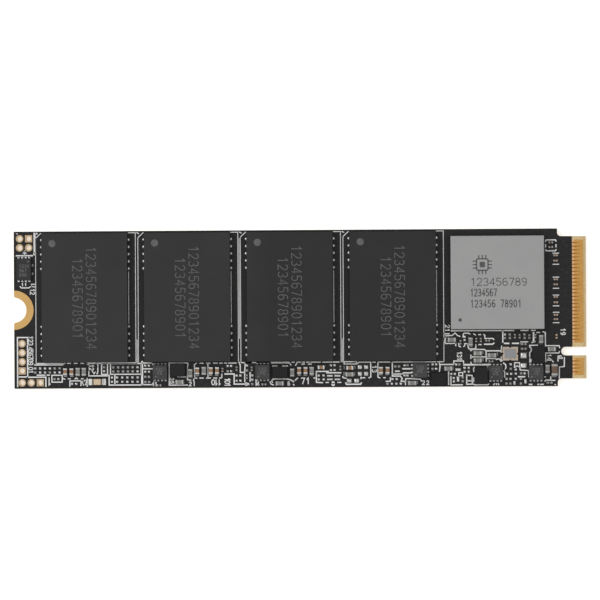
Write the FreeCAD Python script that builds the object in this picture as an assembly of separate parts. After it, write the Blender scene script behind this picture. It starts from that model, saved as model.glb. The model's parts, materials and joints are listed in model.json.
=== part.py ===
import FreeCAD, Part
import math
import os

# Solid state drive on an M.2 2280 card with an M-key edge connector, component side up.
# Millimetres. Origin: centre of the half-round screw notch, on the card's underside.
# +X runs to the edge connector, +Y to contact 1 (the key slot is at -Y), +Z is the component side.

# ---- driving dimensions: the card ----
CARD_LENGTH = 80.0
CARD_WIDTH = 22.0
CARD_THICKNESS = 0.8
COPPER = 0.035
MASK = 0.025
PREPREG = 0.1
PLANE_COPPER = 0.03
PLANE_MARGIN = 0.5

TONGUE_LENGTH = 4.0
TONGUE_WIDTH = 19.85
TONGUE_CORNER_R = 0.5
NOTCH_R = 1.75
NOTCH_CORNER_R = 0.3
NOTCH_PAD_R = 2.75
PLATED_WALL_ANGLE = 72.0
KEY_Y = -6.125
KEY_WIDTH = 1.2
KEY_DEPTH = 3.5
BEVEL_LENGTH = 0.4
BEVEL_DEPTH = 0.15

# ---- driving dimensions: edge contacts ----
CONTACT_PITCH = 0.5
CONTACT_WIDTH = 0.35
CONTACT_LENGTH = 1.55
FIRST_CONTACT_Y = 9.25
TOP_PINS = list(range(1, 59, 2)) + list(range(67, 76, 2))
BOTTOM_PINS = list(range(2, 59, 2)) + list(range(68, 75, 2))

# ---- driving dimensions: debug header holes ----
HOLE_R = 0.35
PLATING = 0.035
HOLE_PAD_R = 0.525
HOLE_PAD_SQUARE = 1.0
HEADER_PITCH = 1.27
PLANE_CLEARANCE = 0.85

# ---- driving dimensions: memory packages ----
MEMORY_X0 = 9.99
MEMORY_PITCH = 14.355
MEMORY_COUNT = 4
MEMORY_Y = 1.7
MEMORY_LENGTH = 18.0
MEMORY_WIDTH = 12.0
MEMORY_SUBSTRATE = 0.15
MEMORY_MOULD = 0.65
DIE_LENGTH = 12.0
DIE_WIDTH = 7.5
DIE_THICKNESS = 0.08
DIE_COUNT = 4
DIE_STEP = 0.3
WIRE_SIZE = 0.05
WIRE_COUNT = 12
WIRE_PITCH = 0.9
WIRE_REACH = 1.0
WIRE_LANDING = 0.2
SUPPORT_PAD_R = 0.19
SUPPORT_PAD_X = 6.1
SUPPORT_PAD_ROWS = (4.06, 5.07, 6.08, 7.09, 8.1)

BALL_R = 0.25
BALL_FLAT_R = 0.2
BALL_HEIGHT = 0.24
MEMORY_BALL_COLUMNS = (-5, -4, -3, -2, 2, 3, 4, 5)
MEMORY_BALL_ROWS = range(-8, 9)

# ---- driving dimensions: controller ----
CONTROLLER_X = 67.61
CONTROLLER_Y = 3.5
CONTROLLER_SIZE = 13.0
CONTROLLER_SUBSTRATE = 0.3
CONTROLLER_DIE = 6.0
CONTROLLER_DIE_THICKNESS = 0.35
UNDERFILL = 0.08
THERMAL_PASTE = 0.05
LID_TOP = 0.25
LID_CAVITY = 9.5
CONTROLLER_BALL_PITCH = 0.8
CONTROLLER_BALL_RANGE = range(-7, 8)
CONTROLLER_RIM_FROM = 5
CONTROLLER_CENTRE_TO = 2

# ---- levels ----
Z_LAMINATE = COPPER
Z_CORE = COPPER + PREPREG
Z_CORE_TOP = CARD_THICKNESS - COPPER - PREPREG
Z_LAMINATE_TOP = CARD_THICKNESS - COPPER
Z_MASK_TOP = Z_LAMINATE_TOP + MASK
Z_SEAT = CARD_THICKNESS
Z_PACKAGE = Z_MASK_TOP + BALL_HEIGHT
X_MASK_END = CARD_LENGTH - BEVEL_LENGTH - CONTACT_LENGTH

# ---- placements of the small parts: x, y and the turn of the part's own length from X ----
BROWN_CAPACITORS = [
    (7.17, -8.63, 90), (8.06, -8.63, 90), (25.68, -8.6, 90), (27.58, -8.57, 90), (28.45, -8.57, 90),
    (39.93, -8.62, 90), (40.82, -8.62, 90), (43.0, -8.2, 0), (47.0, -8.3, 0), (51.35, -8.65, 90),
    (52.27, -8.65, 90),
]
GREY_CAPACITORS = [
    (8.95, -8.65, 90), (9.8, -8.65, 90), (23.2, -10.15, 0), (24.7, -8.9, 90), (26.6, -8.6, 90),
    (37.2, -10.4, 0), (38.95, -8.9, 90), (41.68, -8.68, 90), (46.95, -9.2, 0), (55.7, -10.45, 0),
    (60.75, -8.47, 0), (61.25, -4.45, 0), (63.85, -4.7, 90), (64.85, -6.35, 0), (64.85, -7.35, 0),
    (66.85, -6.65, 0), (73.68, -4.4, 90), (74.55, -8.55, 90), (75.15, -5.83, 0),
]
SMALL_CHIPS = [
    (20.3, -10.6, 0), (29.2, -8.5, 90), (31.17, -8.33, 90), (32.6, -9.45, 90), (33.3, -8.35, 90),
    (35.0, -10.55, 0), (45.68, -8.3, 90), (62.45, -4.8, 90), (64.65, -4.5, 90), (65.3, -4.5, 90),
    (66.25, -4.6, 0), (66.7, -7.5, 0), (70.05, -4.0, 90), (70.7, -4.0, 90), (72.05, -4.05, 90),
    (72.9, -4.0, 90), (71.28, -5.1, 0), (71.28, -5.76, 0), (74.85, -10.5, 0), (75.1, 9.05, 0),
    (75.1, 8.4, 0),
]
COUPLING_X = 75.75
COUPLING_PAIRS_Y = [(7.25, 6.5), (3.9, 3.2), (1.45, 0.7), (-1.05, -1.65)]
BULK_CAPACITOR = (75.51, -8.7, 90)
FUSE = (11.65, -10.1, 0)
REGULATORS = [(20.45, -8.8, 0), (34.8, -8.85, 0), (67.35, -9.1, 0), (72.95, -9.1, 0)]
LOAD_SWITCH = (56.8, -8.7, 90)
BOOT_MEMORY = (1.45, 5.7, 0)
INDUCTORS = [
    (22.95, -8.5, 0, 2.0, 1.7), (37.25, -8.85, 0, 2.0, 1.6), (59.35, -9.9, 0, 1.95, 1.65),
    (65.3, -9.4, 90, 2.2, 1.8), (73.25, -6.65, 90, 2.3, 1.65),
]
CRYSTAL = (69.37, -6.43)
TEST_POINTS = [(75.85, -3.85), (75.85, -4.25)]
TEST_POINT_R = 0.13
BARE_LAND = 0.3

HEADER_ROUND = [
    (0.83, 10.0), (0.83, 8.73), (2.1, 8.73), (1.1, -4.7), (1.1, -4.7 - HEADER_PITCH),
    (1.1, -4.7 - 2 * HEADER_PITCH), (1.1, -10.18), (1.1 + HEADER_PITCH, -10.18),
]
HEADER_SQUARE = [(2.1, 10.0), (1.1, -4.7 - 3 * HEADER_PITCH), (1.1 + 2 * HEADER_PITCH, -10.18)]

# ---- sizes of the small parts: length, width, height, terminal length, solder toe ----
SIZE_0402 = (0.95, 0.55, 0.5, 0.24, 0.13)
SIZE_0402_WIDE = (1.12, 0.62, 0.55, 0.27, 0.12)
SIZE_0201 = (0.6, 0.3, 0.3, 0.17, 0.08)
SIZE_0603 = (1.6, 0.85, 0.8, 0.33, 0.13)
SIZE_FUSE = (1.6, 0.85, 0.45, 0.3, 0.42)
TERMINAL_WALL = 0.02
FUSE_ELEMENT = 0.08
FILLET_SAG = 0.38
CHIP_FILLET_RISE = 0.6

# ---- leadless chips: length along their lead rows' normal, width, height ----
REGULATOR_SIZE = (2.0, 2.0, 0.6)
BOOT_SIZE = (3.0, 2.0, 0.55)
LEAD_PITCH = 0.5
LEAD_WIDTH = 0.25
LEAD_LENGTH = 0.3
LEAD_HEIGHT = 0.2
LEAD_LAND_OUT = 0.24
LEAD_TOE = 0.14
LEAD_SLOTS = (-1.5, -0.5, 0.5, 1.5)
LEAD_FILLET_RISE = 0.7
REGULATOR_PADDLE = (0.8, 1.5)
REGULATOR_DIE = (0.75, 1.2)
BOOT_PADDLE = (1.7, 1.5)
BOOT_DIE = (1.5, 1.2)
LEADLESS_DIE_THICKNESS = 0.15

# ---- inductors and crystal ----
INDUCTOR_HEIGHT = 1.0
INDUCTOR_TERMINAL = 0.35
INDUCTOR_TERMINAL_SHEET = 0.08
INDUCTOR_TERMINAL_INSET = 0.1
COIL_LEVEL = 0.3
COIL_HEIGHT = 0.45
COIL_COVER = 0.22
COIL_BAND = 0.32
COIL_TAIL = 0.12

CRYSTAL_SIZE = (2.14, 1.9, 0.4)
CRYSTAL_LID = (1.54, 1.26, 0.08)
CRYSTAL_WELL = (1.3, 1.02, 0.25)
CRYSTAL_BLANK = (1.05, 0.74, 0.05)
CRYSTAL_PAD = (0.7, 0.6)
CRYSTAL_BOND = 0.2
CRYSTAL_BOND_Y = 0.25
CRYSTAL_BOND_HEIGHT = 0.05
CASTELLATION_R = 0.14

nodes = {}
lands = []


def add(node, *shapes):
    """Put solids into a node."""
    nodes.setdefault(node, []).extend(shapes)


def box(x0, x1, y0, y1, z0, z1):
    return Part.makeBox(x1 - x0, y1 - y0, z1 - z0, FreeCAD.Vector(x0, y0, z0))


def block(length, width, z0, z1, x=0.0, y=0.0):
    """A box centred on (x, y)."""
    return box(x - length / 2, x + length / 2, y - width / 2, y + width / 2, z0, z1)


def disc(x, y, radius, z0, z1):
    return Part.makeCylinder(radius, z1 - z0, FreeCAD.Vector(x, y, z0))


def placed(shape, x, y, turn=0, z=0.0):
    """A copy turned about Z and moved to its place."""
    copy = shape.copy()
    copy.rotate(FreeCAD.Vector(0, 0, 0), FreeCAD.Vector(0, 0, 1), turn)
    copy.translate(FreeCAD.Vector(x, y, z))
    return copy


def land(x, y, length, width, turn=0, at=(0.0, 0.0)):
    """A copper land given in a part's own frame; the part stands at (x, y) with its turn."""
    angle = math.radians(turn)
    cx = x + at[0] * math.cos(angle) - at[1] * math.sin(angle)
    cy = y + at[0] * math.sin(angle) + at[1] * math.cos(angle)
    if turn % 180:
        length, width = width, length
    lands.append((cx, cy, length, width))


# ---- the card ----

def polar(radius, degrees, z):
    angle = math.radians(degrees)
    return FreeCAD.Vector(radius * math.cos(angle), radius * math.sin(angle), z)


def arc(start, middle, end):
    return Part.Arc(start, middle, end).toShape()


def line(start, end):
    return Part.makeLine(start, end)


def card_outline(z):
    """The card's outline: screw notch at x = 0, tongue and key slot at the far end."""
    def point(x, y):
        return FreeCAD.Vector(x, y, z)

    half = CARD_WIDTH / 2
    shoulder = CARD_LENGTH - TONGUE_LENGTH
    tongue = TONGUE_WIDTH / 2
    corner = TONGUE_CORNER_R
    slot_end = CARD_LENGTH - KEY_DEPTH + KEY_WIDTH / 2
    slot_low = KEY_Y - KEY_WIDTH / 2
    slot_high = KEY_Y + KEY_WIDTH / 2

    # The notch's mouth is rounded: an arc tangent to the end edge and to the notch circle.
    round_r = NOTCH_CORNER_R
    mouth_y = math.sqrt((NOTCH_R + round_r) ** 2 - round_r ** 2)
    touch = math.degrees(math.atan2(mouth_y, round_r))
    touch_point = polar(NOTCH_R, touch, z)
    mouth_mid_angle = math.radians((180 + 180 + touch) / 2)

    def mouth_mid(side):
        return point(
            round_r + round_r * math.cos(mouth_mid_angle),
            side * (mouth_y + round_r * math.sin(mouth_mid_angle)),
        )

    low_touch = point(touch_point.x, -touch_point.y)
    slant = corner * math.sqrt(0.5)
    edges = [
        line(point(0, mouth_y), point(0, half)),
        line(point(0, half), point(shoulder, half)),
        line(point(shoulder, half), point(shoulder, tongue + corner)),
        arc(point(shoulder, tongue + corner), point(shoulder - slant + corner, tongue + corner - slant),
            point(shoulder + corner, tongue)),
        line(point(shoulder + corner, tongue), point(CARD_LENGTH, tongue)),
        line(point(CARD_LENGTH, tongue), point(CARD_LENGTH, slot_high)),
        line(point(CARD_LENGTH, slot_high), point(slot_end, slot_high)),
        arc(point(slot_end, slot_high), point(slot_end - KEY_WIDTH / 2, KEY_Y), point(slot_end, slot_low)),
        line(point(slot_end, slot_low), point(CARD_LENGTH, slot_low)),
        line(point(CARD_LENGTH, slot_low), point(CARD_LENGTH, -tongue)),
        line(point(CARD_LENGTH, -tongue), point(shoulder + corner, -tongue)),
        arc(point(shoulder + corner, -tongue), point(shoulder - slant + corner, -tongue - corner + slant),
            point(shoulder, -tongue - corner)),
        line(point(shoulder, -tongue - corner), point(shoulder, -half)),
        line(point(shoulder, -half), point(0, -half)),
        line(point(0, -half), point(0, -mouth_y)),
        arc(point(0, -mouth_y), mouth_mid(-1), low_touch),
        arc(low_touch, point(NOTCH_R, 0), touch_point),
        arc(touch_point, mouth_mid(1), point(0, mouth_y)),
    ]
    return Part.Wire(edges)


def card_sheet(z0, z1):
    return Part.Face(card_outline(z0)).extrude(FreeCAD.Vector(0, 0, z1 - z0))


def notch_wall(z0, z1):
    """The plated wall of the screw notch, a thin ring sector."""
    ring = disc(0, 0, NOTCH_R + PLATING, z0, z1).cut(disc(0, 0, NOTCH_R, z0, z1))
    reach = NOTCH_R * 2
    corners = [
        FreeCAD.Vector(0, 0, z0),
        polar(reach, -PLATED_WALL_ANGLE, z0),
        FreeCAD.Vector(reach * 2, 0, z0),
        polar(reach, PLATED_WALL_ANGLE, z0),
        FreeCAD.Vector(0, 0, z0),
    ]
    sector = Part.Face(Part.makePolygon(corners)).extrude(FreeCAD.Vector(0, 0, z1 - z0))
    return ring.common(sector)


def header_holes(radius, z0, z1):
    return [disc(x, y, radius, z0, z1) for x, y in HEADER_ROUND + HEADER_SQUARE]


def bevels():
    """Wedges that take the sharp edges off the connector end, above and below."""
    far = CARD_LENGTH + BEVEL_LENGTH
    start = CARD_LENGTH - BEVEL_LENGTH
    rise = BEVEL_DEPTH / BEVEL_LENGTH
    wedges = []
    for level, way in ((Z_LAMINATE_TOP, 1), (Z_LAMINATE, -1)):
        corners = [
            FreeCAD.Vector(start, -CARD_WIDTH, level),
            FreeCAD.Vector(far, -CARD_WIDTH, level - way * rise * (far - start)),
            FreeCAD.Vector(far, -CARD_WIDTH, level + way),
            FreeCAD.Vector(start, -CARD_WIDTH, level + way),
            FreeCAD.Vector(start, -CARD_WIDTH, level),
        ]
        face = Part.Face(Part.makePolygon(corners))
        wedges.append(face.extrude(FreeCAD.Vector(0, 2 * CARD_WIDTH, 0)))
    return wedges


def laminate(z0, z1):
    """One glass-epoxy layer with its holes, plated notch seat and bevelled end."""
    cuts = header_holes(HOLE_R + PLATING, z0, z1) + [notch_wall(z0, z1)] + bevels()
    return card_sheet(z0, z1).cut(Part.makeCompound(cuts))


def plane(x0, x1, z0, z1):
    """An inner copper sheet, kept clear of the card's edges, the notch and the header holes."""
    half = CARD_WIDTH / 2 - PLANE_MARGIN
    gap = PLANE_CLEARANCE
    sheet = box(x0, x1, -half, half, z0, z1)
    cuts = [box(0, x + gap, y - gap, y + gap, z0, z1) for x, y in HEADER_ROUND + HEADER_SQUARE]
    cuts.append(disc(0, 0, NOTCH_PAD_R + PLANE_MARGIN, z0, z1))
    return sheet.cut(Part.makeCompound(cuts)).removeSplitter()


def make_card():
    plane_end = CARD_LENGTH - TONGUE_LENGTH - PLANE_MARGIN
    split = CONTROLLER_X - CONTROLLER_SIZE / 2 - PLANE_MARGIN
    ground = [plane(PLANE_MARGIN, plane_end, Z_CORE_TOP - PLANE_COPPER, Z_CORE_TOP)]
    supply = [
        plane(PLANE_MARGIN, split, Z_CORE, Z_CORE + PLANE_COPPER),
        plane(split + PLANE_MARGIN, plane_end, Z_CORE, Z_CORE + PLANE_COPPER),
    ]
    add("card_core", laminate(Z_CORE, Z_CORE_TOP).cut(Part.makeCompound(ground + supply)))
    add("card_layer_top", laminate(Z_CORE_TOP, Z_LAMINATE_TOP))
    add("card_layer_bottom", laminate(Z_LAMINATE, Z_CORE))
    add("ground_plane", *ground)
    add("supply_planes", *supply)


def make_notch_plating():
    """Half eyelet: a pad above, a pad below and the plated wall between them."""
    eyelet = notch_wall(0, CARD_THICKNESS)
    for z0, z1 in ((0, Z_LAMINATE), (Z_LAMINATE_TOP, CARD_THICKNESS)):
        eyelet = eyelet.fuse(card_sheet(z0, z1).common(disc(0, 0, NOTCH_PAD_R, z0, z1)))
    add("notch_plating", eyelet.removeSplitter())


def make_header_platings():
    for x, y in HEADER_ROUND + HEADER_SQUARE:
        sleeve = disc(x, y, HOLE_R + PLATING, 0, CARD_THICKNESS)
        for z0, z1 in ((0, Z_LAMINATE), (Z_LAMINATE_TOP, CARD_THICKNESS)):
            if (x, y) in HEADER_ROUND:
                pad = disc(x, y, HOLE_PAD_R, z0, z1)
            else:
                pad = block(HOLE_PAD_SQUARE, HOLE_PAD_SQUARE, z0, z1, x, y)
            sleeve = sleeve.fuse(pad)
        add("header_hole_platings", sleeve.cut(disc(x, y, HOLE_R, 0, CARD_THICKNESS)).removeSplitter())


def make_contacts():
    x1 = CARD_LENGTH - BEVEL_LENGTH
    sides = (
        ("edge_contacts_top", TOP_PINS, Z_LAMINATE_TOP, CARD_THICKNESS),
        ("edge_contacts_bottom", BOTTOM_PINS, 0, Z_LAMINATE),
    )
    for node, pins, z0, z1 in sides:
        for pin in pins:
            y = FIRST_CONTACT_Y - CONTACT_PITCH / 2 * (pin - 1)
            add(node, block(CONTACT_LENGTH, CONTACT_WIDTH, z0, z1, x1 - CONTACT_LENGTH / 2, y))


def rectangle(x, y, length, width, z):
    x0, x1 = x - length / 2, x + length / 2
    y0, y1 = y - width / 2, y + width / 2
    return Part.makePolygon([FreeCAD.Vector(a, b, z) for a, b in
                             ((x0, y0), (x1, y0), (x1, y1), (x0, y1), (x0, y0))])


def circle(x, y, radius, z):
    return Part.Wire(Part.makeCircle(radius, FreeCAD.Vector(x, y, z)))


def mask_sheet(z, openings):
    """A solder mask layer: the card's outline, cut back at the contacts and the notch pad."""
    sheet = Part.Face(card_outline(z))
    sheet = sheet.cut(Part.Face(circle(0, 0, NOTCH_PAD_R, z)))
    bare_end = rectangle(CARD_LENGTH, 0, 2 * (CARD_LENGTH - X_MASK_END), CARD_WIDTH * 2, z)
    sheet = sheet.cut(Part.Face(bare_end))
    outline = max(sheet.Faces, key=lambda face: face.Area).OuterWire
    face = Part.makeFace([outline] + openings, "Part::FaceMakerBullseye")
    return face.Faces[0].extrude(FreeCAD.Vector(0, 0, MASK))


def header_openings(z):
    wires = [circle(x, y, HOLE_PAD_R, z) for x, y in HEADER_ROUND]
    return wires + [rectangle(x, y, HOLE_PAD_SQUARE, HOLE_PAD_SQUARE, z) for x, y in HEADER_SQUARE]


def memory_centres():
    return [MEMORY_X0 + i * MEMORY_PITCH for i in range(MEMORY_COUNT)]


def support_pads():
    """Places of the round lands beside each memory package that wider packages would use."""
    return [
        (x + side * SUPPORT_PAD_X, MEMORY_Y + end * row)
        for x in memory_centres() for side in (-1, 1) for end in (-1, 1) for row in SUPPORT_PAD_ROWS
    ]


def make_masks():
    z = Z_LAMINATE_TOP
    openings = header_openings(z)
    openings += [rectangle(x, y, length, width, z) for x, y, length, width in lands]
    openings += [circle(x, y, SUPPORT_PAD_R, z) for x, y in support_pads()]
    openings += [circle(x, y, TEST_POINT_R, z) for x, y in TEST_POINTS]
    add("solder_mask_top", mask_sheet(z, openings))
    z = Z_LAMINATE - MASK
    add("solder_mask_bottom", mask_sheet(z, header_openings(z)))


def make_pads():
    z0, z1 = Z_LAMINATE_TOP, CARD_THICKNESS
    add("tinned_pads", *[block(length, width, z0, z1, x, y) for x, y, length, width in lands])
    add("memory_side_pads", *[disc(x, y, SUPPORT_PAD_R, z0, z1) for x, y in support_pads()])
    add("test_points", *[disc(x, y, TEST_POINT_R, z0, z1) for x, y in TEST_POINTS])


# ---- unused lands, left bare for parts that this model of drive doesn't carry ----

def bare_row(x0, pitch, count, *levels, size=(BARE_LAND, BARE_LAND)):
    """Rows of equal lands: the first one's x, their spacing and number, and each row's y."""
    for y in levels:
        for i in range(count):
            land(x0 + i * pitch, y, *size)


def make_bare_lands():
    bare_row(2.62, 0, 1, 6.27, 5.1, size=(0.22, 0.3))
    bare_row(2.95, 0.684, 6, -8.18, -8.75)
    bare_row(5.65, 0.52, 2, -9.67)
    bare_row(8.1, 0.6, 2, -10.35)
    bare_row(12.6, 0, 1, -8.05, -8.6)
    bare_row(13.9, 0.68, 6, -8.07, -8.65)
    bare_row(13.7, 0.72, 6, -9.5, -10.1)
    bare_row(18.38, 0.52, 2, -7.85, -8.7, -9.42, -10.15)
    bare_row(29.92, 0.48, 2, -7.95, -8.7)
    bare_row(31.17, 0.53, 2, -9.3, -10.03)
    bare_row(32.62, 0, 1, -7.9, -8.6)
    bare_row(33.37, 0, 1, -9.3, -9.9)
    bare_row(32.8, 0.57, 2, -10.5)
    bare_row(42.65, 0.68, 2, -9.35, -9.9)
    bare_row(44.37, 0.5, 2, -7.93, -8.6)
    bare_row(44.2, 1.05, 2, -9.4, -9.9, size=(0.8, 0.25))
    bare_row(46.9, 1.05, 2, -10.1, size=(0.65, 0.55))
    bare_row(48.4, 0.87, 2, -8.2, -9.15, size=(0.55, 0.55))
    bare_row(53.35, 0.52, 2, -8.13)
    bare_row(53.65, 0, 1, -8.8, size=(0.7, 0.25))
    bare_row(54.65, 0.42, 2, -7.97, -9.4)
    bare_row(52.95, 0.6, 2, -9.9)
    bare_row(52.25, 0.62, 4, -10.55)
    bare_row(58.55, 0.5, 2, -7.87, -8.5)
    bare_row(61.85, 0.45, 2, -7.9)
    bare_row(62.1, 0, 1, -8.62, size=(0.75, 0.35))
    bare_row(63.02, 0.58, 2, -8.38, -8.92)
    bare_row(61.15, 0.5, 2, -9.22)
    bare_row(61.5, 0, 1, -9.8, -10.27)
    bare_row(62.1, 0, 1, -9.95, size=(0.35, 0.7))
    bare_row(62.75, 0, 1, -9.7, -10.25)
    bare_row(63.05, 0, 1, -4.05, -4.5)
    bare_row(68.65, 0.7, 2, -3.75, -4.25)
    bare_row(71.4, 0, 1, -3.75, -4.25)
    bare_row(71.25, 0, 1, -6.7, size=(0.85, 0.75))
    bare_row(71.25, 0, 1, -8.1, size=(0.75, 0.65))
    bare_row(69.45, 0, 1, -7.92, -8.55)
    bare_row(68.95, 0.55, 2, -9.25)
    bare_row(70.15, 0, 1, -8.65, -9.22)
    bare_row(70.9, 0.5, 2, -9.2)
    bare_row(68.85, 0.55, 2, -9.95, -10.6)
    bare_row(70.15, 0.7, 2, -9.95)
    bare_row(69.95, 0, 1, -10.52, size=(0.3, 0.5))
    bare_row(70.85, 0, 1, -10.6)
    bare_row(71.5, 0, 1, -10.3, size=(0.3, 0.6))


# ---- two-terminal parts ----

def fillet(x_end, toe, width, rise, way):
    """A hollow solder fillet against an end face at x_end, climbing by rise."""
    far = x_end + way * toe
    foot = FreeCAD.Vector(x_end, -width / 2, Z_SEAT)
    tip = FreeCAD.Vector(far, -width / 2, Z_SEAT)
    top = FreeCAD.Vector(x_end, -width / 2, Z_SEAT + rise)
    waist = FreeCAD.Vector(x_end + way * toe * FILLET_SAG, -width / 2, Z_SEAT + rise * FILLET_SAG)
    wire = Part.Wire([line(foot, tip), arc(tip, waist, top), line(top, foot)])
    return Part.Face(wire).extrude(FreeCAD.Vector(0, width, 0))


def chip_pieces(size):
    """Body, end caps and solder of a two-terminal part whose length lies along X."""
    length, width, height, terminal, toe = size
    wall = TERMINAL_WALL
    body = block(length - 2 * wall, width - 2 * wall, Z_SEAT + wall, Z_SEAT + height - wall)
    caps = []
    fillets = []
    for way in (-1, 1):
        centre = way * (length - terminal) / 2
        caps.append(block(terminal, width, Z_SEAT, Z_SEAT + height, centre).cut(body))
        fillets.append(fillet(way * length / 2, toe, width, height * CHIP_FILLET_RISE, way))
    return body, caps, fillets


def chip_lands(size, x, y, turn):
    length, width, _, terminal, toe = size
    reach = terminal + toe
    for way in (-1, 1):
        land(x, y, reach, width, turn, (way * (length / 2 + toe - reach / 2), 0))


def chips(size, places, body_node, cap_node):
    body, caps, fillets = chip_pieces(size)
    for x, y, turn in places:
        add(body_node, placed(body, x, y, turn))
        add(cap_node, *[placed(cap, x, y, turn) for cap in caps])
        add("solder_fillets", *[placed(piece, x, y, turn) for piece in fillets])
        chip_lands(size, x, y, turn)


def make_fuse():
    body, caps, fillets = chip_pieces(SIZE_FUSE)
    x, y, turn = FUSE
    length, _, height = SIZE_FUSE[:3]
    middle = Z_SEAT + height / 2
    element = block(length - 2 * TERMINAL_WALL, FUSE_ELEMENT, middle, middle + FUSE_ELEMENT)
    add("fuse_body", placed(body.cut(element), x, y, turn))
    add("fuse_element", placed(element, x, y, turn))
    add("fuse_end_caps", *[placed(cap, x, y, turn) for cap in caps])
    add("solder_fillets", *[placed(piece, x, y, turn) for piece in fillets])
    chip_lands(SIZE_FUSE, x, y, turn)


def make_chips():
    coupling = [(COUPLING_X, y, 0) for pair in COUPLING_PAIRS_Y for y in pair]
    chips(SIZE_0402, BROWN_CAPACITORS, "bypass_capacitor_bodies", "bypass_capacitor_terminals")
    chips(SIZE_0402_WIDE, GREY_CAPACITORS, "filter_capacitor_bodies", "filter_capacitor_terminals")
    chips(SIZE_0201, SMALL_CHIPS, "small_chip_bodies", "small_chip_terminals")
    chips(SIZE_0201, coupling, "coupling_capacitor_bodies", "coupling_capacitor_terminals")
    chips(SIZE_0603, [BULK_CAPACITOR], "bulk_capacitor_body", "bulk_capacitor_terminals")
    make_fuse()


# ---- leadless chips ----

def leadless(names, size, place, paddle, die):
    """A moulded leadless chip: leads in two rows at the ends of its length, a paddle and a die."""
    body_node, lead_node, paddle_node, die_node = names
    length, width, height = size
    x, y, turn = place
    turn += 90
    leads = []
    for way in (-1, 1):
        for slot in LEAD_SLOTS:
            across = slot * LEAD_PITCH
            centre = way * (length - LEAD_LENGTH) / 2
            end = way * length / 2
            leads.append(block(LEAD_LENGTH, LEAD_WIDTH, Z_SEAT, Z_SEAT + LEAD_HEIGHT, centre, across))
            toe = fillet(end, LEAD_TOE, LEAD_WIDTH, LEAD_HEIGHT * LEAD_FILLET_RISE, way)
            toe.translate(FreeCAD.Vector(0, across, 0))
            add("solder_fillets", placed(toe, x, y, turn))
            reach = LEAD_LENGTH + LEAD_LAND_OUT
            land(x, y, reach, LEAD_WIDTH, turn, (end + way * (LEAD_LAND_OUT - reach / 2), across))
    z_die = Z_SEAT + LEAD_HEIGHT
    plate = block(*paddle, Z_SEAT, z_die)
    chip = block(*die, z_die, z_die + LEADLESS_DIE_THICKNESS)
    body = block(length, width, Z_SEAT + TERMINAL_WALL, Z_SEAT + height)
    body = body.cut(Part.makeCompound(leads + [plate, chip]))
    land(x, y, *paddle, turn)
    add(body_node, placed(body, x, y, turn))
    add(lead_node, *[placed(lead, x, y, turn) for lead in leads])
    add(paddle_node, placed(plate, x, y, turn))
    add(die_node, placed(chip, x, y, turn))


def make_leadless_chips():
    regulator = ("regulator_bodies", "regulator_leads", "regulator_paddles", "regulator_dies")
    for place in REGULATORS:
        leadless(regulator, REGULATOR_SIZE, place, REGULATOR_PADDLE, REGULATOR_DIE)
    switch = ("load_switch_body", "load_switch_leads", "load_switch_paddle", "load_switch_die")
    leadless(switch, REGULATOR_SIZE, LOAD_SWITCH, REGULATOR_PADDLE, REGULATOR_DIE)
    boot = ("boot_memory_body", "boot_memory_leads", "boot_memory_paddle", "boot_memory_die")
    leadless(boot, BOOT_SIZE, BOOT_MEMORY, BOOT_PADDLE, BOOT_DIE)


# ---- inductors ----

def coil_ring(length, width):
    """A flat rectangular coil with a tail at each end that drops to the terminals."""
    z0 = Z_SEAT + COIL_LEVEL
    outer = block(length - 2 * COIL_COVER, width - 2 * COIL_COVER, z0, z0 + COIL_HEIGHT)
    inset = 2 * (COIL_COVER + COIL_BAND)
    coil = outer.cut(block(length - inset, width - inset, z0, z0 + COIL_HEIGHT))
    for way in (-1, 1):
        centre = way * (length / 2 - COIL_COVER - COIL_TAIL / 2)
        coil = coil.fuse(block(COIL_TAIL, 2 * COIL_TAIL, Z_SEAT + INDUCTOR_TERMINAL_SHEET, z0, centre))
    return coil.removeSplitter()


def make_inductors():
    """Pressed iron-powder blocks, each with a coil inside and a sheet terminal under each end."""
    for x, y, turn, length, width in INDUCTORS:
        sheet_top = Z_SEAT + INDUCTOR_TERMINAL_SHEET
        sheet_width = width - 2 * INDUCTOR_TERMINAL_INSET
        coil = coil_ring(length, width)
        terminals = []
        for way in (-1, 1):
            centre = way * (length - INDUCTOR_TERMINAL) / 2
            terminals.append(block(INDUCTOR_TERMINAL, sheet_width, Z_SEAT, sheet_top, centre))
            land(x, y, INDUCTOR_TERMINAL, sheet_width, turn, (centre, 0))
        core = block(length, width, Z_SEAT + TERMINAL_WALL, Z_SEAT + INDUCTOR_HEIGHT)
        core = core.cut(Part.makeCompound(terminals + [coil]))
        add("inductor_cores", placed(core, x, y, turn))
        add("inductor_coils", placed(coil, x, y, turn))
        add("inductor_terminals", *[placed(terminal, x, y, turn) for terminal in terminals])


# ---- crystal ----

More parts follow.
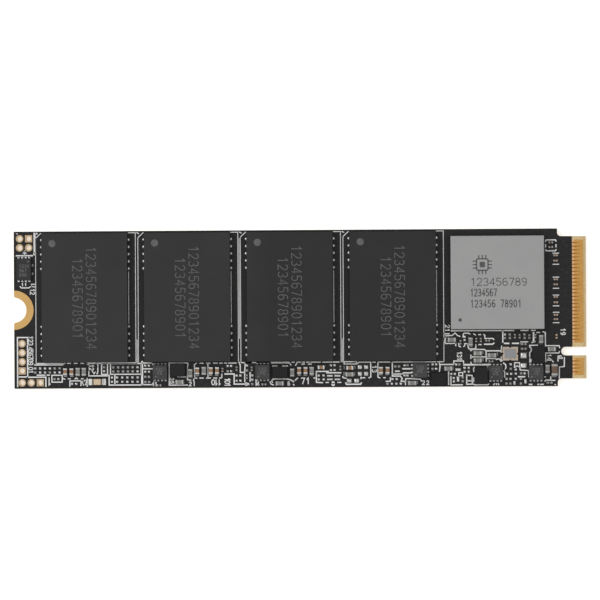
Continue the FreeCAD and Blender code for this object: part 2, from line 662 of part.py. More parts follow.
def make_crystal():
    """Ceramic tray with a quartz blank in its well, sealed by a metal lid."""
    x, y = CRYSTAL
    length, width, height = CRYSTAL_SIZE
    well_length, well_width, well_depth = CRYSTAL_WELL
    top = Z_SEAT + height
    floor = top - well_depth
    pad = CRYSTAL_PAD
    pads = []
    for side in (-1, 1):
        for end in (-1, 1):
            at = (side * (length - pad[0]) / 2, end * (width - pad[1]) / 2)
            pads.append(block(*pad, Z_SEAT, Z_SEAT + COPPER, *at))
            land(x, y, *pad, 0, at)
    cuts = [block(well_length, well_width, floor, top)]
    for cx, cy in ((-length / 2, 0), (length / 2, 0), (0, -width / 2), (0, width / 2)):
        cuts.append(disc(cx, cy, CASTELLATION_R, Z_SEAT, top))
    tray = block(length, width, Z_SEAT + COPPER, top).cut(Part.makeCompound(cuts))
    ledge = floor + CRYSTAL_BOND_HEIGHT
    blank_length, blank_width, blank_thickness = CRYSTAL_BLANK
    bond = CRYSTAL_BOND
    bond_x = (bond - blank_length) / 2
    bonds = [block(bond, bond, floor, ledge, bond_x, side * CRYSTAL_BOND_Y) for side in (-1, 1)]
    blank = block(blank_length, blank_width, ledge, ledge + blank_thickness)
    lid_length, lid_width, lid_thickness = CRYSTAL_LID
    lid = block(lid_length, lid_width, top, top + lid_thickness)
    add("crystal_tray", placed(tray, x, y))
    add("crystal_pads", *[placed(piece, x, y) for piece in pads])
    add("crystal_bonds", *[placed(piece, x, y) for piece in bonds])
    add("crystal_blank", placed(blank, x, y))
    add("crystal_lid", placed(lid, x, y))


# ---- packages on solder balls ----

def ball():
    """A reflowed solder ball: a short barrel, widest at mid-height."""
    half = BALL_HEIGHT / 2
    lower = Part.makeCone(BALL_FLAT_R, BALL_R, half, FreeCAD.Vector(0, 0, Z_MASK_TOP))
    upper = Part.makeCone(BALL_R, BALL_FLAT_R, half, FreeCAD.Vector(0, 0, Z_MASK_TOP + half))
    return lower.fuse(upper)


def memory_wires(z):
    """Bond wires from the die stack's stepped side down to the substrate, as bent square bars."""
    stack = DIE_COUNT * DIE_THICKNESS
    foot = -DIE_WIDTH / 2 - WIRE_REACH
    landing = -DIE_WIDTH / 2 + (DIE_COUNT - 1) * DIE_STEP + WIRE_LANDING
    loop = z + stack + WIRE_SIZE
    outline = [
        (foot, z), (foot + WIRE_SIZE, z), (foot + WIRE_SIZE, loop), (landing, loop),
        (landing, loop - WIRE_SIZE), (landing + WIRE_SIZE, loop - WIRE_SIZE),
        (landing + WIRE_SIZE, loop + WIRE_SIZE), (foot, loop + WIRE_SIZE), (foot, z),
    ]
    face = Part.Face(Part.makePolygon([FreeCAD.Vector(a, 0, b) for a, b in outline]))
    wire = face.extrude(FreeCAD.Vector(0, WIRE_SIZE, 0))
    first = -(WIRE_COUNT - 1) / 2 * WIRE_PITCH
    return [placed(wire, 0, first + i * WIRE_PITCH) for i in range(WIRE_COUNT)]


def memory_dies(z):
    """A stack of dies, each a step further over so that its bond pads stay open."""
    return [
        block(DIE_WIDTH, DIE_LENGTH, z + i * DIE_THICKNESS, z + (i + 1) * DIE_THICKNESS, i * DIE_STEP)
        for i in range(DIE_COUNT)
    ]


def make_memory():
    z_mould = Z_PACKAGE + MEMORY_SUBSTRATE
    substrate = block(MEMORY_WIDTH, MEMORY_LENGTH, Z_PACKAGE, z_mould)
    dies = memory_dies(z_mould)
    wires = memory_wires(z_mould)
    mould = block(MEMORY_WIDTH, MEMORY_LENGTH, z_mould, z_mould + MEMORY_MOULD)
    mould = mould.cut(Part.makeCompound(dies + wires))
    one_ball = ball()
    corner = (max(MEMORY_BALL_COLUMNS), max(MEMORY_BALL_ROWS))
    for x in memory_centres():
        add("memory_substrates", placed(substrate, x, MEMORY_Y))
        add("memory_mould_caps", placed(mould, x, MEMORY_Y))
        add("memory_dies", *[placed(die, x, MEMORY_Y) for die in dies])
        add("memory_bond_wires", *[placed(wire, x, MEMORY_Y) for wire in wires])
        for column in MEMORY_BALL_COLUMNS:
            for row in MEMORY_BALL_ROWS:
                if (abs(column), abs(row)) != corner:
                    add("memory_solder_balls", placed(one_ball, x + column, MEMORY_Y + row))


def make_controller():
    size = CONTROLLER_SIZE
    z_die = Z_PACKAGE + CONTROLLER_SUBSTRATE
    z_silicon = z_die + UNDERFILL
    z_paste = z_silicon + CONTROLLER_DIE_THICKNESS
    z_lid = z_paste + THERMAL_PASTE
    lid = block(size, size, z_die, z_lid + LID_TOP).cut(block(LID_CAVITY, LID_CAVITY, z_die, z_lid))
    die = CONTROLLER_DIE
    at = (CONTROLLER_X, CONTROLLER_Y)
    add("controller_substrate", block(size, size, Z_PACKAGE, z_die, *at))
    add("controller_underfill", block(die, die, z_die, z_silicon, *at))
    add("controller_die", block(die, die, z_silicon, z_paste, *at))
    add("controller_thermal_paste", block(die, die, z_paste, z_lid, *at))
    add("controller_lid", placed(lid, *at))
    one_ball = ball()
    for column in CONTROLLER_BALL_RANGE:
        for row in CONTROLLER_BALL_RANGE:
            ring = max(abs(column), abs(row))
            if ring >= CONTROLLER_RIM_FROM or ring <= CONTROLLER_CENTRE_TO:
                x = CONTROLLER_X + column * CONTROLLER_BALL_PITCH
                y = CONTROLLER_Y + row * CONTROLLER_BALL_PITCH
                add("controller_solder_balls", placed(one_ball, x, y))


def save():
    os.makedirs("parts", exist_ok=True)
    for node, solids in nodes.items():
        shape = solids[0] if len(solids) == 1 else Part.makeCompound(solids)
        shape.exportStep(f"parts/{node}.step")


make_card()
make_notch_plating()
make_header_platings()
make_contacts()
make_chips()
make_leadless_chips()
make_inductors()
make_crystal()
make_bare_lands()
make_memory()
make_controller()
make_pads()
make_masks()
save()
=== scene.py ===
import json
import math
import random

import bpy
import numpy as np
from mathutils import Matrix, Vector


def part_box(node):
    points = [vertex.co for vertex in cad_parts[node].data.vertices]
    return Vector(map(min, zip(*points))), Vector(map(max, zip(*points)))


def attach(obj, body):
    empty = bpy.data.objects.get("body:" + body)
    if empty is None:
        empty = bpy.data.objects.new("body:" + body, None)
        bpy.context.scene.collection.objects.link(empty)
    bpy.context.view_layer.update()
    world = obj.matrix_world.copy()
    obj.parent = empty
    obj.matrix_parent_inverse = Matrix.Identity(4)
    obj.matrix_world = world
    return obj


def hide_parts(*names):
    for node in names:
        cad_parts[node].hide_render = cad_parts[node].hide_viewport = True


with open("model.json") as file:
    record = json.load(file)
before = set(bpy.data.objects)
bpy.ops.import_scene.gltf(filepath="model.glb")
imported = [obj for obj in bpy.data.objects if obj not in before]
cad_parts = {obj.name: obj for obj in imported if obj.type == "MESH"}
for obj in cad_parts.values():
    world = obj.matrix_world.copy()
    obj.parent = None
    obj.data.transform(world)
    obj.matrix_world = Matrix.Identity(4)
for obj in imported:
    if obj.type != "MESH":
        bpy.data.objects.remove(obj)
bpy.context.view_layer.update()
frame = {"nodes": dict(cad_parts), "record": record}

NODES = frame["nodes"]
MM = 0.001
draw = random.Random(22)

# ---- levels above the card's underside, in mm, read from the frame ----


def span(node):
    """Lowest and highest corner of a CAD node, in mm."""
    low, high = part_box(node)
    return tuple(v / MM for v in low), tuple(v / MM for v in high)


Z_MASK = span("solder_mask_top")[1][2]
Z_SEAT = span("tinned_pads")[1][2]
Z_MEMORY = span("memory_mould_caps")[1][2]
Z_LID = span("controller_lid")[1][2]
CARD_LOW, CARD_HIGH = span("card_core")
Z_MASK_UNDER = span("solder_mask_bottom")[0][2]
CARD_MIDDLE = (CARD_LOW[2] + CARD_HIGH[2]) / 2


def islands(node):
    """The box of every separate solid of a CAD node, in mm, in the order of its vertices."""
    mesh = NODES[node].data
    points = np.zeros(len(mesh.vertices) * 3)
    mesh.vertices.foreach_get("co", points)
    points = points.reshape(-1, 3) / MM
    keys = {}
    weld = [keys.setdefault(tuple(np.round(p, 4)), i) for i, p in enumerate(points)]
    parent = list(range(len(points)))

    def root(i):
        while parent[i] != i:
            parent[i] = parent[parent[i]]
            i = parent[i]
        return i

    for polygon in mesh.polygons:
        corners = [root(weld[v]) for v in polygon.vertices]
        for corner in corners[1:]:
            parent[root(corner)] = root(corners[0])
    groups = {}
    for i in range(len(points)):
        groups.setdefault(root(weld[i]), []).append(i)
    return [(points[g].min(0), points[g].max(0)) for g in groups.values()]


def contact_rows():
    """The rise and fall of each contact row across the card, below and above the key slot, in mm."""
    middles = [(low[1] + high[1]) / 2 for low, high in islands("edge_contacts_top")]
    lower = [y for y in middles if y < KEY_Y]
    upper = [y for y in middles if y > KEY_Y]
    return [[(y - ROW_BLUR, y + ROW_BLUR) for y in (min(row), max(row))] for row in (lower, upper)]


KEY_Y = -6.1
ROW_BLUR = 0.02
CONTACT_ROWS = contact_rows()

# ---- materials ----

def linear(level):
    """A screen level of 0..255 as linear light."""
    level = level / 255
    return level / 12.92 if level <= 0.04045 else ((level + 0.055) / 1.055) ** 2.4


def tint(levels):
    """Screen levels to a linear colour; a single level gives a grey."""
    if isinstance(levels, int):
        levels = (levels,) * 3
    return tuple(linear(v) for v in levels) + (1.0,)


class Shader:
    """A node material under construction; its patterns are placed in the object's own metres."""

    def __init__(self, name):
        self.material = bpy.data.materials.new(name)
        self.material.use_nodes = True
        self.tree = self.material.node_tree
        self.bsdf = self.tree.nodes["Principled BSDF"]
        self.place = self.node("ShaderNodeTexCoord").outputs["Object"]

    def node(self, kind, **settings):
        made = self.tree.nodes.new(kind)
        for key, value in settings.items():
            setattr(made, key, value)
        return made

    def wire(self, value, socket):
        if isinstance(value, bpy.types.NodeSocket):
            self.tree.links.new(value, socket)
        else:
            socket.default_value = value

    def set(self, **inputs):
        for name, value in inputs.items():
            self.wire(value, self.bsdf.inputs[name.replace("_", " ")])

    def stretched(self, stretch):
        mapping = self.node("ShaderNodeMapping")
        self.wire(self.place, mapping.inputs["Vector"])
        mapping.inputs["Scale"].default_value = stretch
        return mapping.outputs["Vector"]

    def noise(self, feature, detail=3.0, stretch=(1, 1, 1), rough=0.55):
        """Noise whose features are this many millimetres across."""
        made = self.node("ShaderNodeTexNoise")
        self.wire(self.stretched(stretch), made.inputs["Vector"])
        made.inputs["Scale"].default_value = 1 / (feature * MM)
        made.inputs["Detail"].default_value = detail
        made.inputs["Roughness"].default_value = rough
        return made.outputs["Fac"]

    def bands(self, feature, direction, distortion):
        made = self.node("ShaderNodeTexWave", bands_direction=direction)
        self.wire(self.place, made.inputs["Vector"])
        made.inputs["Scale"].default_value = 1 / (feature * MM) * 0.314
        made.inputs["Distortion"].default_value = distortion
        return made.outputs["Fac"]

    def span(self, value, low, high, to_low=0.0, to_high=1.0):
        made = self.node("ShaderNodeMapRange")
        self.wire(value, made.inputs["Value"])
        made.inputs["From Min"].default_value, made.inputs["From Max"].default_value = low, high
        made.inputs["To Min"].default_value, made.inputs["To Max"].default_value = to_low, to_high
        return made.outputs["Result"]

    def mix(self, share, first, second, blend="MIX"):
        made = self.node("ShaderNodeMix", data_type="RGBA", blend_type=blend)
        self.wire(share, made.inputs[0])
        self.wire(first, made.inputs[6])
        self.wire(second, made.inputs[7])
        return made.outputs[2]

    def maths(self, operation, first, second):
        made = self.node("ShaderNodeMath", operation=operation)
        self.wire(first, made.inputs[0])
        self.wire(second, made.inputs[1])
        return made.outputs[0]

    def contrast(self, noise):
        """The middle of a noise's range, spread from 0 to 1."""
        return self.span(noise, 0.35, 0.65)

    def gloss(self, noise, low, high):
        """A roughness that follows a noise."""
        return self.span(noise, 0.3, 0.7, low, high)

    def along(self, axis):
        """The position along an axis, in metres."""
        made = self.node("ShaderNodeSeparateXYZ")
        self.wire(self.place, made.inputs[0])
        return made.outputs[axis]

    def ramp(self, value, low, high, to_low=0.0, to_high=1.0):
        """span() with its limits in mm."""
        return self.span(value, low * MM, high * MM, to_low, to_high)

    def window(self, value, rise, fall):
        """1 between a rise and a fall, each given as the two places in mm where it starts and ends."""
        return self.maths("MULTIPLY", self.ramp(value, *rise), self.ramp(value, *fall, 1.0, 0.0))

    def away_from(self, axis, middle=0.0):
        """Distance along an axis from a place given in mm, in metres."""
        return self.maths("ABSOLUTE", self.maths("SUBTRACT", self.along(axis), middle * MM), 0.0)

    def bump(self, height, depth, after=None):
        """Relief of this depth in millimetres."""
        made = self.node("ShaderNodeBump")
        made.inputs["Strength"].default_value = 1.0
        made.inputs["Distance"].default_value = depth * MM
        self.wire(height, made.inputs["Height"])
        if after is not None:
            self.wire(after, made.inputs["Normal"])
        return made.outputs["Normal"]


def plain(name, low, high, metal=0.0, rough=0.5, specular=0.5, grain=0.08, cloud=3.0, depth=0.004,
          detail=4.0, harshness=0.55, fine_share=0.6, gloss_drift=0.05):
    """A material whose colour drifts between two tints, with fine grain in colour, gloss and relief."""
    shader = Shader(name)
    fine = shader.noise(grain, detail, rough=harshness)
    broad = shader.noise(cloud, 2.0)
    parts = shader.maths("MULTIPLY", fine, fine_share), shader.maths("MULTIPLY", broad, 1 - fine_share)
    colour = shader.mix(shader.contrast(shader.maths("ADD", *parts)), tint(low), tint(high))
    shader.set(Base_Color=colour, Metallic=metal, Specular_IOR_Level=specular,
               Roughness=shader.gloss(fine, rough - gloss_drift, rough + gloss_drift),
               Normal=shader.bump(fine, depth))
    return shader


# The stretch of the card, along x, where laminate shows brown between the contacts, and how far a
# point must be from the card's middle plane to count as being on one of its faces.
CONTACT_REACH = ((77.8, 77.9), (79.55, 79.7))
ON_A_FACE = (0.32, 0.34)


def make_laminate():
    """Glass-epoxy: tan resin with bundles of glass that show as fine streaks on the cut faces."""
    shader = Shader("glass_epoxy")
    streaks = shader.noise(0.07, 3.0, (0.3, 0.3, 2.0))
    weave = shader.maths("MULTIPLY", shader.bands(0.45, "X", 1.0), shader.bands(0.45, "Y", 1.0))
    resin = shader.mix(shader.contrast(streaks), tint((190, 166, 120)), tint((216, 192, 146)))
    colour = shader.mix(shader.maths("MULTIPLY", weave, 0.3), resin, tint((226, 204, 160)))
    toward_end = shader.ramp(shader.along(0), 78.5, 79.3)
    between = shader.mix(toward_end, tint((150, 98, 40)), tint((198, 156, 92)))
    rows = shader.maths("ADD", *[shader.window(shader.along(1), *row) for row in CONTACT_ROWS])
    near_contacts = shader.maths("MULTIPLY", rows, shader.window(shader.along(0), *CONTACT_REACH))
    on_a_face = shader.ramp(shader.away_from(2, CARD_MIDDLE), *ON_A_FACE)
    colour = shader.mix(shader.maths("MULTIPLY", near_contacts, on_a_face), colour, between)
    shader.set(Base_Color=colour, Roughness=shader.gloss(streaks, 0.42, 0.6),
               Specular_IOR_Level=0.2, Normal=shader.bump(streaks, 0.01))
    shader.bsdf.inputs["Subsurface Weight"].default_value = 0.15
    shader.bsdf.inputs["Subsurface Radius"].default_value = (0.0006, 0.0004, 0.0002)
    return shader


def make_mask():
    """Black solder mask: smooth, with the glass weave faintly telegraphed and a little orange peel."""
    shader = Shader("solder_mask")
    peel = shader.noise(0.35, 2.0)
    fine = shader.noise(0.05, 3.0)
    weave = shader.maths("ADD", shader.bands(0.5, "X", 0.6), shader.bands(0.5, "Y", 0.6))
    colour = shader.mix(shader.contrast(peel), *MASK_TINTS)
    relief = shader.bump(weave, 0.0012)
    relief = shader.bump(peel, 0.004, after=relief)
    relief = shader.bump(fine, 0.0006, after=relief)
    shader.set(Base_Color=colour, Roughness=shader.gloss(fine, 0.34, 0.46),
               Specular_IOR_Level=MASK_SPECULAR, Normal=relief)
    return shader


def make_contact_gold():
    """Hard gold on the contacts: fine wipe marks along the card, paler at the inner ends, with a painted
    shadow of the mask edge at their very inner end.
    """
    shader = Shader("contact_gold")
    wipes = shader.noise(0.05, 4.0, (0.12, 1, 1))
    patches = shader.noise(0.9, 2.0)
    worn = shader.mix(shader.span(wipes, 0.3, 0.7), tint((196, 146, 76)), tint((216, 166, 94)))
    worn = shader.mix(shader.span(patches, 0.4, 0.7, 0.0, 0.5), worn, tint((186, 132, 66)))
    unworn = shader.ramp(shader.along(0), 78.18, 78.45, 1.0, 0.0)
    # Painted shadow: the gold is painted dark brown in the last 0.06 mm beside the mask edge.
    mask_edge_shadow = shader.ramp(shader.along(0), 78.04, 78.1, 1.0, 0.0)
    colour = shader.mix(unworn, worn, tint((228, 184, 138)))
    colour = shader.mix(mask_edge_shadow, colour, tint((96, 66, 36)))
    shader.set(Base_Color=colour, Metallic=1.0, Roughness=shader.gloss(wipes, 0.22, 0.36),
               Normal=shader.bump(wipes, 0.0015))
    return shader


def make_memory_mould():
    """Dark grey mould compound; the two packages nearer the connector are painted darker, as painted
    shade.
    """
    shader = plain("mould_compound", 37, 45, rough=0.62, specular=0.3, grain=0.045, cloud=5.0,
                   depth=0.003)
    # Painted shade: past x = 32..36 mm the mould colour is drawn 30 % towards near-black.
    connector_end_shade = shader.ramp(shader.along(0), 32, 36, 0.0, 0.3)
    colour = shader.bsdf.inputs["Base Color"].links[0].from_socket
    shader.set(Base_Color=shader.mix(connector_end_shade, colour, tint(10)))
    return shader


MASK_TINTS = (tint(25), tint(32))
MASK_SPECULAR = 0.22

MATERIALS = {
    "laminate": make_laminate(),
    "solder_mask": make_mask(),
    "mould_compound": make_memory_mould(),
    "contact_gold": make_contact_gold(),
}


def add_plain(name, low, high, **settings):
    """Adds a plain() material, given the screen levels of its tints and what differs from the usual."""
    MATERIALS[name] = plain(name, low, high, **settings)


add_plain("nickel_plate", 155, (166, 166, 165), metal=0.85, rough=0.56, grain=0.06, cloud=4.0,
          detail=5.0, harshness=0.7, fine_share=0.7, gloss_drift=0.06)
add_plain("mask_on_copper", (33, 33, 32), (41, 41, 40), rough=0.36, specular=MASK_SPECULAR, grain=0.1)
add_plain("copper", (190, 120, 84), (214, 142, 104), metal=1.0, rough=0.4)
add_plain("gold_plating", (200, 160, 100), (216, 176, 114), metal=1.0, rough=0.34, grain=0.05)
add_plain("pale_gold", (180, 156, 124), (200, 174, 142), metal=1.0, rough=0.38, grain=0.05)
add_plain("tinned_copper", (192, 192, 190), (216, 216, 214), metal=1.0, rough=0.36, grain=0.06,
          depth=0.003)
add_plain("solder", (176, 177, 176), (222, 222, 221), metal=1.0, rough=0.3, grain=0.3, cloud=1.1,
          depth=0.004)
add_plain("fuse_tin", (196, 196, 192), (226, 226, 221), metal=0.35, rough=0.42, grain=0.08, depth=0.004)
add_plain("pad_rim", (146, 146, 144), (176, 176, 174), metal=1.0, rough=0.38, grain=0.06, depth=0.003)
add_plain("fuse_band", (56, 47, 32), (82, 69, 48), rough=0.5, specular=0.3, grain=0.05)
add_plain("dim_solder", (134, 134, 133), (164, 164, 163), metal=1.0, rough=0.4, grain=0.2, depth=0.004)
add_plain("leadless_mould", 46, (68, 69, 68), rough=0.6, specular=0.3, grain=0.22, cloud=0.9,
          depth=0.006)
add_plain("package_substrate", (34, 40, 36), (48, 54, 48), rough=0.5, specular=0.3)
add_plain("silicon", (96, 100, 108), (112, 116, 124), metal=0.9, rough=0.15)
add_plain("thermal_paste", (180, 180, 176), (204, 204, 200), rough=0.6)
add_plain("underfill", (24, 24, 30), (36, 36, 42), rough=0.25)
add_plain("gold_wire", (226, 184, 96), (238, 200, 120), metal=1.0, rough=0.25)
add_plain("brown_ceramic", (126, 94, 68), (150, 116, 86), rough=0.42, specular=0.35, grain=0.07)
add_plain("dark_brown_ceramic", (92, 74, 60), (112, 90, 72), rough=0.45, specular=0.3, grain=0.07)
add_plain("grey_ceramic", (112, 111, 107), (134, 132, 127), rough=0.42, specular=0.35, grain=0.07)
add_plain("chip_ceramic", (74, 64, 56), (98, 84, 73), rough=0.42, specular=0.35, grain=0.06)
add_plain("fuse_ceramic", (190, 170, 140), (206, 187, 158), rough=0.45, specular=0.35)
add_plain("iron_powder", 17, 30, metal=0.1, rough=0.55, specular=0.25, grain=0.07, depth=0.01)
add_plain("crystal_ceramic", (168, 154, 140), (186, 172, 157), rough=0.5, specular=0.35)
add_plain("quartz", (214, 222, 226), (228, 234, 238), rough=0.1)
add_plain("lid_metal", (136, 137, 138), (152, 153, 154), metal=1.0, rough=0.34, grain=0.05)
add_plain("conductive_adhesive", (166, 166, 162), (186, 186, 182), metal=0.2, rough=0.5)
add_plain("silk", (206, 206, 205), (230, 230, 228), rough=0.55, specular=0.3, grain=0.1, cloud=1.2,
          depth=0.006)
add_plain("laser_mark", 80, (102, 102, 101), rough=0.75, specular=0.3, grain=0.06, cloud=0.8)
add_plain("faint_mark", 92, (114, 114, 113), rough=0.75, specular=0.3, grain=0.06, cloud=0.8)
add_plain("dull_tin", (158, 158, 156), (182, 182, 180), metal=1.0, rough=0.45, grain=0.06, depth=0.003)
add_plain("dark_mark", 74, (98, 98, 97), metal=0.3, rough=0.6, specular=0.3, grain=0.06, cloud=0.8)


# ---- mesh building, in mm ----

class Solid:
    """Vertices and faces gathered into one piece."""

    def __init__(self):
        self.points = []
        self.faces = []

    def add(self, points, faces):
        start = len(self.points)
        self.points.extend(points)
        self.faces.extend([tuple(start + i for i in face) for face in faces])

    def piece(self, name, material, slot=None, smooth=False, replaces=()):
        mesh = bpy.data.meshes.new(name)
        mesh.from_pydata([tuple(c * MM for c in p) for p in self.points], [], self.faces)
        mesh.materials.append(MATERIALS[material].material)
        if smooth:
            mesh.shade_smooth()
        mesh.validate()
        made = bpy.data.objects.new(name, mesh)
        bpy.context.scene.collection.objects.link(made)
        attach(made, "root")
        if replaces:
            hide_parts(*replaces)
        return made


def surface_grid(count):
    """Grid places on the skin of a count-cubed block, and the quads that join them."""
    last = count - 1
    order = {}
    quads = []
    for axis in range(3):
        across, up = (axis + 1) % 3, (axis + 2) % 3
        for side in (0, last):
            for i in range(last):
                for j in range(last):
                    quad = []
                    for di, dj in ((0, 0), (1, 0), (1, 1), (0, 1)):
                        place = [0, 0, 0]
                        place[axis], place[across], place[up] = side, i + di, j + dj
                        quad.append(order.setdefault(tuple(place), len(order)))
                    quads.append(tuple(quad if side else quad[::-1]))
    return np.array(list(order)), quads


ROUND_STEPS = 2
GRID, GRID_QUADS = surface_grid(2 * ROUND_STEPS + 2)


def rounded_box(solid, low, high, radius):
    """A box with its edges and corners rounded."""
    low, high = np.array(low, float), np.array(high, float)
    radius = min(radius, (high - low).min() / 2 * 0.98)
    turns = [radius * math.tan(math.pi / 4 * i / ROUND_STEPS) for i in range(ROUND_STEPS + 1)]
    levels = [[b + radius - t for t in turns[::-1]] + [e - radius + t for t in turns]
              for b, e in zip(low, high)]
    points = np.stack([np.array(levels[a])[GRID[:, a]] for a in range(3)], 1)
    inner = np.clip(points, low + radius, high - radius)
    out = points - inner
    length = np.linalg.norm(out, axis=1, keepdims=True)
    solid.add((inner + out / length * radius).tolist(), GRID_QUADS)


def ring(centre, half, power, count, z):
    """A closed loop between an ellipse (power 2) and a rectangle (higher powers)."""
    loop = []
    for i in range(count):
        angle = 2 * math.pi * (i + 0.5) / count
        c, s = math.cos(angle), math.sin(angle)
        x = math.copysign(abs(c) ** (2 / power), c) * half[0]
        y = math.copysign(abs(s) ** (2 / power), s) * half[1]
        loop.append((centre[0] + x, centre[1] + y, z))
    return loop


def loft(solid, loops):
    """Skins a stack of equal loops and closes both ends."""
    count = len(loops[0])
    faces = [tuple(range(count))[::-1]]
    for k in range(len(loops) - 1):
        for i in range(count):
            j = (i + 1) % count
            faces.append((k * count + i, k * count + j, (k + 1) * count + j, (k + 1) * count + i))
    faces.append(tuple(range((len(loops) - 1) * count, len(loops) * count)))
    solid.add([p for loop in loops for p in loop], faces)


def disc(solid, x, y, radius, count, levels):
    """A flat round mark between two levels."""
    loft(solid, [ring((x, y), (radius, radius), 2, count, z) for z in levels])


def dome(solid, centre, half, z, height, power=4.0):
    """A low cushion of solder or ink on a land."""
    loops = []
    for k in range(6):
        angle = math.pi / 2 * k / 6
        shrunk = [h * math.cos(angle) for h in half]
        level = z + height * math.sin(angle)
        loops.append(ring(centre, shrunk, power - (power - 2) * k / 6, 20, level))
    loft(solid, loops)


def stroke(solid, points, width, z0, z1, closed=False):
    """A printed line: a ribbon of square section with mitred corners."""
    points = [np.array(p, float) for p in points]
    count = len(points)
    sides = []
    for i in range(count):
        before = points[i] - points[i - 1] if (closed or i) else points[1] - points[0]
        after = points[(i + 1) % count] - points[i] if (closed or i < count - 1) else before
        before, after = before / np.linalg.norm(before), after / np.linalg.norm(after)
        mean = before + after
        mean /= max(np.linalg.norm(mean), 1e-9)
        normal = np.array((-mean[1], mean[0]))
        reach = width / 2 / max(0.35, float(mean @ before))
        ahead = np.zeros(2)
        if not closed and i in (0, count - 1):
            ahead = mean * width * (-0.35 if i == 0 else 0.35)
        sides.append((points[i] + normal * reach + ahead, points[i] - normal * reach + ahead))
    verts = []
    for left, right in sides:
        for side, z in ((left, z0), (right, z0), (right, z1), (left, z1)):
            verts.append((side[0], side[1], z))
    faces = []
    for i in range(count if closed else count - 1):
        j = (i + 1) % count
        for k in range(4):
            m = (k + 1) % 4
            faces.append((4 * i + k, 4 * j + k, 4 * j + m, 4 * i + m))
    if not closed:
        last = 4 * (count - 1)
        faces += [(0, 1, 2, 3), (last + 3, last + 2, last + 1, last)]
    solid.add(verts, faces)


def curve(cx, cy, rx, ry, start, end, steps=8):
    """Points on an ellipse's arc, angles in degrees."""
    return [
        (cx + rx * math.cos(math.radians(start + (end - start) * i / steps)),
         cy + ry * math.sin(math.radians(start + (end - start) * i / steps)))
        for i in range(steps + 1)
    ]


# Single-stroke digits in a box 0.6 wide and 1 high: each is a list of (points, closed).
DIGITS = {
    "0": [(curve(0.3, 0.5, 0.28, 0.5, 0, 337.5, 15), True)],
    "1": [([(0.14, 0.78), (0.36, 1.0), (0.36, 0.0)], False)],
    "2": [(curve(0.3, 0.72, 0.27, 0.28, 165, -30) + [(0.03, 0.0), (0.58, 0.0)], False)],
    "3": [(curve(0.28, 0.75, 0.26, 0.25, 150, -90, 6)
           + curve(0.28, 0.26, 0.29, 0.26, 80, -150, 6), False)],
    "4": [([(0.6, 0.3), (0.02, 0.3), (0.44, 1.0), (0.44, 0.0)], False)],
    "5": [([(0.54, 1.0), (0.1, 1.0), (0.07, 0.56)] + curve(0.28, 0.31, 0.3, 0.31, 110, -145), False)],
    "6": [(curve(0.34, 0.6, 0.3, 0.4, 60, 170, 5) + curve(0.31, 0.29, 0.27, 0.29, 175, 500, 12), False)],
    "7": [([(0.03, 1.0), (0.58, 1.0), (0.24, 0.0)], False)],
    "8": [(curve(0.3, 0.76, 0.23, 0.24, -90, 240, 11), True),
          (curve(0.3, 0.26, 0.28, 0.26, 90, 420, 11), True)],
    "9": [(curve(0.29, 0.71, 0.27, 0.29, -5, 320, 12) + curve(0.26, 0.4, 0.3, 0.4, 10, -120, 5), False)],
}


def number(solid, text, x, y, height, pitch, width, turn, z0, z1, stretch=1.0):
    """A row of digits that starts at (x, y) and runs in the direction turn, in degrees."""
    angle = math.radians(turn)
    c, s = math.cos(angle), math.sin(angle)
    for i, digit in enumerate(text):
        if digit not in DIGITS:
            continue
        for points, closed in DIGITS[digit]:
            placed = []
            for px, py in points:
                u, v = i * pitch + px * height * stretch, py * height
                placed.append((x + u * c - v * s, y + u * s + v * c))
            stroke(solid, placed, width, z0, z1, closed)


def bead_boxes(node, material, radius):
    """Rounded metal ends in the place of a CAD node's plain boxes."""
    solid = Solid()
    for low, high in islands(node):
        rounded_box(solid, low, high, radius)
    solid.piece(node + "_rounded", material, "tinned_copper", smooth=True, replaces=[node])


def soften(node, width, segments=2):
    """Rounds the edges of a CAD node where it stands."""
    shown = NODES[node]
    weld = shown.modifiers.new("weld", "WELD")
    weld.merge_threshold = 1e-6
    bevel = shown.modifiers.new("bevel", "BEVEL")
    bevel.width = width * MM
    bevel.segments = segments
    bevel.limit_method = "ANGLE"
    bevel.angle_limit = math.radians(50)
    bevel.harden_normals = True


# ---- CAD nodes: materials ----

NODE_MATERIALS = {
    "bulk_capacitor_body": "dark_brown_ceramic",
    "edge_contacts_top": "contact_gold",
    "edge_contacts_bottom": "contact_gold",
    "header_hole_platings": "pale_gold",
    "test_points": "pale_gold",
    "tinned_pads": "pad_rim",
    "memory_side_pads": "dim_solder",
    "boot_memory_body": "mould_compound",
    "regulator_bodies": "leadless_mould",
    "load_switch_body": "leadless_mould",
}

for row in frame["record"]["subparts"]:
    shown = NODES[row["node"]]
    name = NODE_MATERIALS.get(row["node"], row["material_slot"])
    shown.data.materials.clear()
    shown.data.materials.append(MATERIALS[name].material)

# ---- printed ink ----

INK = 0.15
INK_RISE = 0.012
NUMBER_INK = 0.11
WIDE = 0.17

memories = sorted(islands("memory_mould_caps"), key=lambda pair: pair[0][0])
controller_low, controller_high = span("controller_lid")
silk = Solid()


def ink(*places, width=INK, closed=False):
    """A printed line through places given as x, y, x, y and so on."""
    points = list(zip(places[::2], places[1::2]))
    stroke(silk, points, width, Z_MASK, Z_MASK + INK_RISE, closed)


def wide(*places):
    ink(*places, width=WIDE)


def ink_box(x0, x1, y0, y1, width=INK):
    ink(x0, y0, x1, y0, x1, y1, x0, y1, width=width, closed=True)


def dashes(y, *ends, width=INK):
    """Level lines, with their ends given as x0, x1, x0, x1 and so on."""
    for x0, x1 in zip(ends[::2], ends[1::2]):
        ink(x0, y, x1, y, width=width)


def upright(x, y0, y1, width=INK):
    ink(x, y0, x, y1, width=width)


def label(text, x, y, height=0.62, turn=-90, pitch=0.72, width=NUMBER_INK):
    number(silk, text, x, y, height, pitch * height, width, turn, Z_MASK, Z_MASK + INK_RISE)


